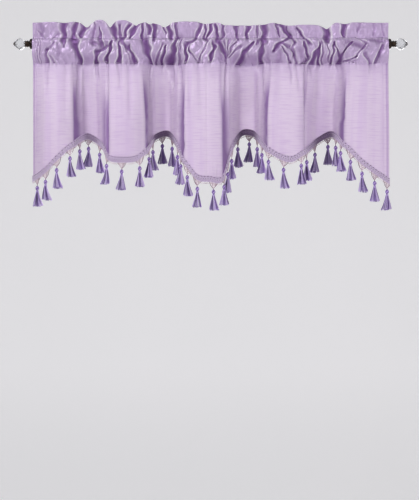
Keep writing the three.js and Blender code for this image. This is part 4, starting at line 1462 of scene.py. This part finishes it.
@dataclass
class GimpFringe:
    """Woven braid along the hem with its corded edges, and the net below it."""

    drape: Drape
    tops: Array
    stations: int = 620
    near: float = 1.1
    band_front: float = 2.2
    band_low: float = -2.2
    band_high: float = 12.4
    edge_cords: tuple[float, ...] = (12.0, -1.4)
    inner_cords: tuple[float, ...] = (9.2, 1.4)
    picot_up: float = 10.6
    picot_pitch: float = 7.4
    loop_drop: float = 4.6
    loop_pitch: float = 5.2
    zigzag_low: float = 2.6
    zigzag_high: float = 8.2
    zigzag_pitch: float = 11.0
    net_half_width: float = 9.4
    net_threads: int = 7

    def band(self) -> bpy.types.Object:
        """The flat woven band."""
        s = np.linspace(0, self.drape.width, self.stations)
        corners = [
            (self.band_front, self.band_low), (self.band_front, self.band_high),
            (self.near, self.band_high), (self.near, self.band_low),
        ]
        rows = np.stack([self.drape.beside_hem(s, out, up) for out, up in corners])
        faces = []
        for j in range(4):
            for k in range(self.stations - 1):
                a, b = j * self.stations + k, (j + 1) % 4 * self.stations + k
                faces.append([a, a + 1, b + 1, b])
        for end in (0, self.stations - 1):
            faces.append([j * self.stations + end for j in range(4)])
        obj = mesh_object("braid_band", rows.reshape(-1, 3), faces)
        outward(obj)
        set_values(obj, "tone", np.full(4 * self.stations, 0.5))
        # Painted shade, darker further back in the folds.
        set_values(obj, "depth", self.depth_at(rows.reshape(-1, 3)))
        return obj

    def depth_at(self, points: Array) -> Array:
        """Painted shade at each point by how far back in the folds it lies, from 0 in front to 1 at the
        back.
        """
        return 0.85 * smoothstep(points[..., 1], -8, 50)

    def rope_grains(self, cords: Sequence[float], pitch: float) -> bpy.types.Object:
        """Guide for the twisted strands of some cords.

        Args:
            cords: height of each cord above the hem.
            pitch: distance from one strand to the next.

        Returns:
            A point for each strand.
        """
        places, lays, tones = [], [], []
        stops = np.arange(pitch / 2, self.drape.width, pitch)
        for up in cords:
            at = self.drape.beside_hem(stops, self.band_front + 0.35, up)
            ahead = self.drape.beside_hem(stops + 0.8, self.band_front + 0.35, up)
            along = unit(ahead - at)
            upward = np.zeros_like(along)
            upward[:, 2] = 1
            places.append(at)
            lays.append(unit(along + 0.75 * upward))
            tones.append(0.72 + 0.2 * np.sin(np.arange(len(stops)) * 1.7 + up))
        points = np.concatenate(places)
        return guide_points(
            "rope_guide", points, lay=np.concatenate(lays),
            tone=np.concatenate(tones), depth=self.depth_at(points),
        )

    def zigzags(self) -> bpy.types.Object:
        """Guide for the two threads that cross along the middle of the band."""
        count = int(self.drape.width / (self.zigzag_pitch / 2))
        stops = np.linspace(0, self.drape.width, 4 * count + 1)
        lines = []
        for turn in (0.0, math.pi):
            wave = np.arcsin(np.sin(stops * 2 * math.pi / self.zigzag_pitch + turn)) * 2 / math.pi
            up = mix(self.zigzag_low, self.zigzag_high, 0.5 + 0.5 * wave)
            out = self.band_front + 0.35 + 0.25 * np.cos(stops * 2 * math.pi / self.zigzag_pitch)
            points = self.drape.middle(stops, 1.0) + self.drape.normal(stops, 1.0) * out[:, None]
            points[:, 2] += up
            lines.append(points)
        lines = np.stack(lines)
        return guide_lines("zigzag_guide", lines, 1.0, tone=0.8, depth=self.depth_at(lines))

    def knots(self) -> bpy.types.Object:
        """Guide for the small darker knots in the eyes of the zigzag and under the upper cord."""
        eyes = np.arange(self.zigzag_pitch / 4, self.drape.width, self.zigzag_pitch / 2)
        middle = (self.zigzag_low + self.zigzag_high) / 2
        picots = np.arange(self.picot_pitch / 2, self.drape.width, self.picot_pitch)
        points = np.concatenate([
            self.drape.beside_hem(eyes, self.band_front + 0.2, middle),
            self.drape.beside_hem(picots, self.band_front + 0.2, self.picot_up),
        ])
        lay = np.zeros_like(points)
        lay[: len(eyes), 2] = 1
        lay[len(eyes) :, 0] = 1
        tone = np.concatenate([np.full(len(eyes), 0.15), np.full(len(picots), 0.0)])
        return guide_points("knot_guide", points, lay=lay, tone=tone, depth=self.depth_at(points))

    def loops(self) -> bpy.types.Object:
        """Guide for the row of small loops under the lower cord."""
        count = int(self.drape.width / self.loop_pitch)
        stops = np.linspace(0, self.drape.width, 6 * count + 1)
        hang = np.abs(np.sin(stops * math.pi / self.loop_pitch)) ** 0.7
        points = self.drape.middle(stops, 1.0) + self.drape.normal(stops, 1.0) * (self.band_front - 0.5)
        points[:, 2] += self.band_low - self.loop_drop * hang
        tone = 0.55 + 0.3 * np.sin(stops / 3.1)
        return guide_lines("loop_guide", points[None], 1.0, tone=tone, depth=self.depth_at(points))

    def net_lines(self) -> bpy.types.Object:
        """Guide for the fans of thread that carry the tassels."""
        share = np.linspace(0, 1, 7)
        lines, tones = [], []
        for n, s in enumerate(self.drape.tassel_s(len(self.tops))):
            top = self.tops[n]
            for i in range(self.net_threads):
                start_u = mix(-self.net_half_width, self.net_half_width, i / (self.net_threads - 1))
                bow = 1.4 * math.sin(2.1 * i + n)
                u = start_u * (1 - share**1.25) + bow * np.sin(math.pi * share) * 0.8
                root = self.drape.beside_hem(s + u, self.band_front - 0.4 + 0.5 * (i % 2), self.band_low)
                hang = root.copy()
                hang[:, 2] = mix(root[:, 2], top[2], share)
                pull = smoothstep(share, 0.55, 1.0)[:, None]
                aim = np.broadcast_to(top, hang.shape).copy()
                aim[:, 2] = hang[:, 2]
                lines.append(mix(hang, aim, pull))
                edge = i in (0, self.net_threads - 1)
                tones.append(0.12 if edge else 0.5 + 0.5 * ((i * 5 + n * 3) % 7) / 6)
        lines = np.stack(lines)
        tone = np.broadcast_to(np.array(tones)[:, None], lines.shape[:2])
        return guide_lines("net_guide", lines, 1.0, tone=tone, depth=self.depth_at(lines))

    def net_beads(self) -> bpy.types.Object:
        """Guide for the small knots where the threads of the net cross."""
        points = []
        for n, s in enumerate(self.drape.tassel_s(len(self.tops))):
            top = self.tops[n]
            for drop, count in ((0.12, 6), (0.42, 4), (0.7, 2)):
                for i in range(count):
                    u = self.net_half_width * (1 - drop) * (2 * (i + 0.5) / count - 1)
                    spot = self.drape.beside_hem(np.array([s + u]), self.band_front, self.band_low)[0]
                    spot[2] = mix(spot[2], top[2], drop)
                    pull = float(smoothstep(drop, 0.55, 1.0))
                    spot[:2] = mix(spot[:2], top[:2], pull)
                    points.append(spot)
        points = np.array(points)
        lay = np.zeros_like(points)
        lay[:, 0] = 1
        tone = 0.25 + 0.7 * (np.arange(len(points)) * 7 % 5) / 4
        return guide_points("bead_guide", points, lay=lay, tone=tone, depth=self.depth_at(points))

    def build(
        self, tubes: ThreadTubes, grains: Grains, gimp: bpy.types.Material, net: bpy.types.Material
    ) -> bpy.types.Object:
        """Makes the braid and its net as one object.

        Args:
            tubes: tool for round threads.
            grains: tool for strands and knots.
            gimp: the braid's yarn.
            net: the net's yarn.

        Returns:
            The braid.
        """
        band = self.band()
        dress(band, gimp)
        parts = [
            band,
            grains.run(
                self.rope_grains(self.edge_cords, 2.3),
                Length=3.9 * MM, Radius=0.95 * MM, Segments=5, Rings=4, Material=gimp,
            ),
            grains.run(
                self.rope_grains(self.inner_cords, 1.9),
                Length=2.9 * MM, Radius=0.62 * MM, Segments=5, Rings=4, Material=gimp,
            ),
            tubes.run(self.zigzags(), Radius=0.85 * MM, Sides=4, Material=gimp),
            grains.run(
                self.knots(), Length=4.2 * MM, Radius=1.1 * MM, Segments=5, Rings=4, Material=gimp
            ),
            tubes.run(self.loops(), Radius=0.55 * MM, Sides=4, Material=net),
            tubes.run(self.net_lines(), Radius=0.85 * MM, Sides=4, Material=net),
            grains.run(
                self.net_beads(), Length=2.4 * MM, Radius=1.1 * MM, Segments=6, Rings=4, Material=net
            ),
        ]
        return joined("gimp_fringe", parts)


@dataclass
class FlossTassel:
    """One tassel: a wound knot, a tied neck and a skirt of cut floss."""

    number: int
    top: Array
    length: float = 51.0
    knot_height: float = 13.0
    knot_radius: float = 4.5
    neck_radius: float = 3.0
    skirt_radius: float = 12.4
    locks: int = 9
    threads_per_lock: int = 12
    inner_threads: int = 22
    # Painted shade of a tassel that hangs far back in the folds.
    depth: float = 0.0

    def skirt(self, rng: np.random.Generator) -> bpy.types.Object:
        """Guide for the cut threads of the skirt.

        Args:
            rng: this tassel's own seeded chance.

        Returns:
            Lines from the neck to the cut ends.
        """
        share = np.array([0, 0.22, 0.48, 0.76, 1.0])
        spread = np.array([0, 0.2, 0.46, 0.75, 1.0])
        sway = rng.uniform(-3.6, 3.6, 2)
        lines, tones, girths = [], [], []

        def thread(angle: float, rim: float, root: float, tone: float, cut: float) -> None:
            """Adds one thread."""
            end = self.skirt_radius * rim
            radius = mix(root, end, spread)
            drop = mix(self.knot_height + 1.0, self.length - cut - rng.uniform(-0.5, 1.6), share)
            twist = angle + rng.normal(0, 0.05) * share
            x = radius * np.cos(twist) + sway[0] * share**2
            y = radius * np.sin(twist) + sway[1] * share**2
            lines.append(np.stack([self.top[0] + x, self.top[1] + y, self.top[2] - drop], axis=-1))
            tones.append(tone)
            girths.append(rng.uniform(0.8, 1.25))

        turn = rng.uniform(0, 2 * math.pi)
        for lock in range(self.locks):
            middle = turn + 2 * math.pi * lock / self.locks + rng.normal(0, 0.05)
            lock_tone = 0.98 - 0.8 * (lock % 2) + rng.uniform(-0.16, 0.16)
            rim = rng.uniform(0.88, 1.06)
            cut = rng.uniform(0.0, 3.6)
            for _ in range(self.threads_per_lock):
                thread(
                    middle + rng.normal(0, 0.19), rim * rng.uniform(0.72, 1.03),
                    self.neck_radius * rng.uniform(0.6, 1.0), lock_tone + rng.uniform(-0.15, 0.15), cut,
                )
        for _ in range(self.inner_threads):
            thread(
                rng.uniform(0, 2 * math.pi), rng.uniform(0.1, 0.65),
                self.neck_radius * rng.uniform(0.1, 0.7), rng.uniform(0.0, 0.3), 0.0,
            )
        lines = np.stack(lines)
        tone = np.array(tones)[:, None] - 0.25 + 0.4 * share[None, :]
        return guide_lines("skirt_guide", lines, np.array(girths)[:, None], tone=tone, depth=self.depth)

    def knot(self, rng: np.random.Generator) -> bpy.types.Object:
        """The wound ball with its ridges, and the plain neck under it."""
        sides, rings = 16, 9
        spin = rng.uniform(0, 2 * math.pi)
        points, tones = [], []
        for j in range(rings):
            share = j / (rings - 1)
            bend = math.sin(math.pi * min(share * 1.06, 1.0)) ** 0.6
            for i in range(sides):
                ridge = 0.5 if (i + j) % 2 else -0.35
                radius = max(1.2, (self.knot_radius + ridge) * bend) if share < 0.93 else self.neck_radius
                angle = 2 * math.pi * (i + 0.35 * j) / sides
                points.append([
                    self.top[0] + radius * math.cos(angle),
                    self.top[1] + radius * math.sin(angle),
                    self.top[2] - self.knot_height * share,
                ])
                spot = math.sin(6 * math.pi * i / sides + 1.9 * j + spin)
                shade = 0.4 + 0.62 * spot + rng.uniform(-0.12, 0.12)
                tones.append(shade * min(1.0, share * 4))
        faces = []
        for low in range(0, (rings - 1) * sides, sides):
            for i in range(sides):
                after = (i + 1) % sides
                faces.append([low + i, low + after, low + sides + after, low + sides + i])
        faces += [list(range(sides)), list(range((rings - 1) * sides, rings * sides))]
        obj = mesh_object("knot", np.array(points), faces)
        outward(obj)
        set_values(obj, "tone", np.array(tones))
        # Painted shade, darker for a tassel far back in the folds.
        set_values(obj, "depth", np.full(len(points), self.depth))
        return obj

    def wraps(self) -> bpy.types.Object:
        """Guide for the thread wound round the neck and its loop into the net."""
        turns = 3
        angle = np.linspace(0, 2 * math.pi * turns, 8 * turns + 1)
        drop = np.linspace(self.knot_height - 0.2, self.knot_height + 3.2, len(angle))
        ring = np.stack([
            self.top[0] + (self.neck_radius + 0.3) * np.cos(angle),
            self.top[1] + (self.neck_radius + 0.3) * np.sin(angle),
            self.top[2] - drop,
        ], axis=-1)
        return guide_lines("wrap_guide", ring[None], 1.0, tone=0.75, depth=self.depth)

    def build(self, tubes: ThreadTubes, material: bpy.types.Material) -> bpy.types.Object:
        """Makes the tassel.

        Args:
            tubes: tool for round threads.
            material: the floss.

        Returns:
            The tassel.
        """
        rng = np.random.default_rng(4100 + self.number)
        knot = self.knot(rng)
        dress(knot, material)
        parts = [
            knot,
            tubes.run(self.skirt(rng), Radius=0.46 * MM, Sides=3, Material=material),
            tubes.run(self.wraps(), Radius=0.6 * MM, Sides=4, Material=material),
        ]
        return joined(f"floss_tassel_{self.number:02d}", parts)


def turned_piece(
    name: str, profile: Sequence[tuple[float, float]], sides: int, start: float, sign: int,
    smooth: bool = True, stagger: float = 0.0,
) -> bpy.types.Object:
    """A piece turned about the rod's axis.

    Args:
        name: the object's name.
        profile: radius and distance outwards of each ring, between its two end points.
        sides: corners in a ring.
        start: where the piece starts along the rod.
        sign: 1 to run right and -1 to run left.
        smooth: whether its faces are shaded smooth.
        stagger: turn of every second ring, in shares of a side.

    Returns:
        The piece.
    """
    points = [[sign * (start + profile[0][1]), 0, 0], [sign * (start + profile[-1][1]), 0, 0]]
    rings = [(r, x) for r, x in profile if r > 0]
    for j, (r, x) in enumerate(rings):
        for i in range(sides):
            angle = 2 * math.pi * (i + stagger * (j % 2)) / sides
            points.append([sign * (start + x), r * math.cos(angle), r * math.sin(angle)])

    def at(j: int, i: int) -> int:
        """Number of a ring's corner."""
        return 2 + j * sides + i % sides

    faces = []
    for i in range(sides):
        faces.append([0, at(0, i), at(0, i + 1)])
        faces.append([1, at(len(rings) - 1, i), at(len(rings) - 1, i + 1)])
        for j in range(len(rings) - 1):
            a, b, c, d = at(j, i), at(j, i + 1), at(j + 1, i + 1), at(j + 1, i)
            if stagger and j % 2 == 0:
                faces += [[a, b, d], [d, b, c]]
            elif stagger:
                faces += [[a, c, d], [a, b, c]]
            else:
                faces.append([a, b, c, d])
    obj = mesh_object(name, np.array(points), faces, smooth)
    outward(obj)
    return obj


@dataclass
class RodHardware:
    """The tube with a turned collar and a cut finial at each end."""

    half_length: float = 434.7
    tube_radius: float = 8.0
    tube_bevel: float = 0.6
    collar_start: float = 435.0
    finial_start: float = 454.3
    tube_sides: int = 48
    collar_sides: int = 48
    finial_facets: int = 8
    collar_profile: tuple[tuple[float, float], ...] = (
        (0, 0), (11.0, 0), (11.9, 0.5), (12.7, 1.8), (13.0, 3.5), (12.7, 5.2), (11.9, 6.4),
        (10.6, 7.2), (8.8, 7.8), (7.6, 8.6), (7.1, 9.8), (7.1, 11.0), (8.3, 11.6), (8.7, 12.5),
        (8.3, 13.4), (7.2, 14.0), (7.2, 16.2), (7.9, 16.6), (8.1, 17.5), (7.9, 18.5), (7.3, 19.0),
        (0, 19.0),
    )
    finial_profile: tuple[tuple[float, float], ...] = (
        (0, 0), (7.0, 0), (8.6, 2.4), (12.4, 5.2), (14.4, 9.4), (14.4, 13.0), (11.6, 18.4),
        (8.0, 23.0), (4.2, 27.4), (0, 29.5),
    )

    def build(
        self, tube: bpy.types.Material, bronze: bpy.types.Material, crystal: bpy.types.Material
    ) -> dict[str, bpy.types.Object]:
        """Makes the hardware.

        Args:
            tube: finish of the tube.
            bronze: finish of the collars.
            crystal: finish of the finials.

        Returns:
            The pieces by the node that each stands for.
        """
        r, h, b = self.tube_radius, self.half_length, self.tube_bevel
        profile = [(0, -h), (r - b, -h), (r, -h + b), (r, h - b), (r - b, h), (0, h)]
        made = {"rod": turned_piece("rod_tube", profile, self.tube_sides, 0.0, 1)}
        dress(made["rod"], tube)
        for side, sign in (("left", -1), ("right", 1)):
            collar = turned_piece(
                f"turned_collar_{side}", self.collar_profile, self.collar_sides, self.collar_start, sign
            )
            finial = turned_piece(
                f"cut_finial_{side}", self.finial_profile, self.finial_facets, self.finial_start, sign,
                smooth=False, stagger=0.5,
            )
            dress(collar, bronze)
            dress(finial, crystal)
            made[f"collar_{side}"] = collar
            made[f"finial_{side}"] = finial
        return made


@dataclass
class Studio:
    """Plain pale room, soft light and the camera."""

    distance: float = 3.0
    aim_x: float = -0.00245
    aim_z: float = -0.5047
    picture_height: int = 500
    pixel_size: float = 0.00245
    sensor: float = 36.0
    floor_z: float = -2.15
    wall_y: float = 4.6
    bend: float = 0.9
    glow: float = 0.36

    def backdrop(self) -> bpy.types.Object:
        """The floor that bends up into the wall."""
        path = [(-7.0, self.floor_z)]
        for i in range(13):
            angle = math.pi / 2 * i / 12
            path.append((
                self.wall_y - self.bend + self.bend * math.sin(angle),
                self.floor_z + self.bend - self.bend * math.cos(angle),
            ))
        path.append((self.wall_y, 5.0))
        half = 9.0
        points = [(side * half, y, z) for y, z in path for side in (-1, 1)]
        faces = [[2 * i, 2 * i + 1, 2 * i + 3, 2 * i + 2] for i in range(len(path) - 1)]
        obj = mesh_object("backdrop", np.array(points) / MM, faces)
        material, sketch, shader, _ = blank_material("matt wall paint")
        place = sketch.node("ShaderNodeTexCoord")
        cloud = sketch.node("ShaderNodeTexNoise", Vector=place.outputs["Object"], Scale=0.8, Detail=3.0)
        color = sketch.blend((0.80, 0.79, 0.80), (0.77, 0.765, 0.775), cloud.outputs["Fac"])
        sketch.put(shader.inputs["Base Color"], color)
        sketch.put(shader.inputs["Emission Color"], color)
        shader.inputs["Emission Strength"].default_value = self.glow
        shader.inputs["Roughness"].default_value = 0.9
        dress(obj, material)
        return obj

    def lamp(
        self, name: str, place: Sequence[float], target: Sequence[float], size: float, power: float
    ) -> bpy.types.Object:
        """One large soft lamp.

        Args:
            name: the lamp's name.
            place: where it stands.
            target: what it points at.
            size: its width.
            power: its strength in watts.

        Returns:
            The lamp.
        """
        data = bpy.data.lights.new(name, "AREA")
        data.size = size
        data.energy = power
        obj = bpy.data.objects.new(name, data)
        bpy.context.scene.collection.objects.link(obj)
        obj.location = place
        obj.rotation_euler = (Vector(target) - Vector(place)).to_track_quat("-Z", "Y").to_euler()
        obj.visible_camera = False
        obj.visible_transmission = False
        return obj

    def camera(self) -> bpy.types.Object:
        """The camera, level and square to the rod."""
        data = bpy.data.cameras.new("camera")
        data.sensor_fit = "AUTO"
        data.sensor_width = self.sensor
        data.lens = self.sensor * self.distance / (self.picture_height * self.pixel_size)
        data.clip_end = 60
        obj = bpy.data.objects.new("camera", data)
        bpy.context.scene.collection.objects.link(obj)
        obj.location = (self.aim_x, -self.distance, self.aim_z)
        obj.rotation_euler = (math.pi / 2, 0, 0)
        bpy.context.scene.camera = obj
        return obj

    def build(self) -> None:
        """Sets up the room, the lamps, the air's light and the camera."""
        self.camera()
        room = [
            self.backdrop(),
            self.lamp("key", (-1.4, -2.0, 1.6), (0, 0, -0.12), 0.9, 48),
            self.lamp("fill", (2.0, -2.2, -0.3), (0, 0, -0.2), 1.2, 22),
            self.lamp("back", (0.2, 1.7, -0.3), (0, 0, -0.2), 1.8, 57),
        ]
        world = bpy.data.worlds.new("air")
        world.use_nodes = True
        world.node_tree.nodes["Background"].inputs["Color"].default_value = (0.95, 0.96, 1.0, 1)
        world.node_tree.nodes["Background"].inputs["Strength"].default_value = 0.3
        bpy.context.scene.world = world
        bpy.context.scene.view_settings.view_transform = "Standard"


def attach(obj: bpy.types.Object, nodes: Sequence[str]) -> None:
    """Ties a finished piece to the frame in place of its plain solids."""
    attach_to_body(obj, "root")
    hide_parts(*nodes)
    triangles = sum(len(face.vertices) - 2 for face in obj.data.polygons)
    log.info("%s: %d triangles, for %s", obj.name, triangles, ", ".join(nodes))


def tassel_tops(count: int) -> Array:
    """Top of each tassel, read from the frame, in millimetres."""
    tops = []
    for n in range(1, count + 1):
        low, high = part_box(f"tassel_{n:02d}")
        tops.append([(low.x + high.x) / 2, (low.y + high.y) / 2, high.z])
    return np.array(tops) / MM


def main() -> None:
    """Builds every piece and ties it to the frame."""
    weave, yarn, metal = slub_weave_group(), yarn_tone_group(), rubbed_metal_group()
    silk = SilkFinish().material(weave)
    gimp = YarnFinish(
        "lilac gimp yarn", linear(234, 220, 240), linear(200, 176, 212), linear(88, 54, 100)
    ).material(yarn)
    net_yarn = YarnFinish(
        "mauve net yarn", linear(240, 226, 233), linear(194, 166, 184), linear(104, 70, 88)
    ).material(yarn)
    floss = YarnFinish(
        "violet floss", linear(222, 202, 246), linear(164, 132, 212), linear(74, 42, 112),
        roughness=0.42,
    ).material(yarn)
    tube = MetalFinish("dark tube", linear(58, 52, 50), linear(86, 78, 74), 0.3, 0.5).material(metal)
    bronze = MetalFinish(
        "dark bronze", linear(44, 36, 32), linear(96, 78, 62), 0.22, 0.42, 160
    ).material(metal)
    crystal = CrystalFinish().material()
    tubes, grains = ThreadTubes(), Grains()

    drape = Drape()
    tops = tassel_tops(TASSEL_COUNT)
    panel = ValancePanel(drape)
    cloth = panel.build(silk)
    places, lays = panel.stitch_guides()
    stitches = grains.run(
        guide_points("stitch_guide", places, lay=lays),
        Length=2.0 * MM, Radius=0.28 * MM, Segments=4, Rings=3, Material=silk,
    )
    cloth = joined("cloth_valance", [cloth, stitches])
    attach(cloth, ["valance_panel"])

    fringe = GimpFringe(drape, tops).build(tubes, grains, gimp, net_yarn)
    attach(fringe, ["fringe_braid"])

    for n, top in enumerate(tops, start=1):
        # Painted shade for tassels that hang far back in the folds.
        depth = 0.72 * float(smoothstep(top[1], -5, 52))
        tassel = FlossTassel(n, top, depth=depth).build(tubes, floss)
        attach(tassel, [f"tassel_{n:02d}"])

    hardware = RodHardware().build(tube, bronze, crystal)
    for node, piece in hardware.items():
        attach(piece, [node])

    Studio().build()
    log.info("the valance is complete")


if __name__ == "__main__":
    logging.basicConfig(level=logging.INFO, format="%(message)s")
    main()
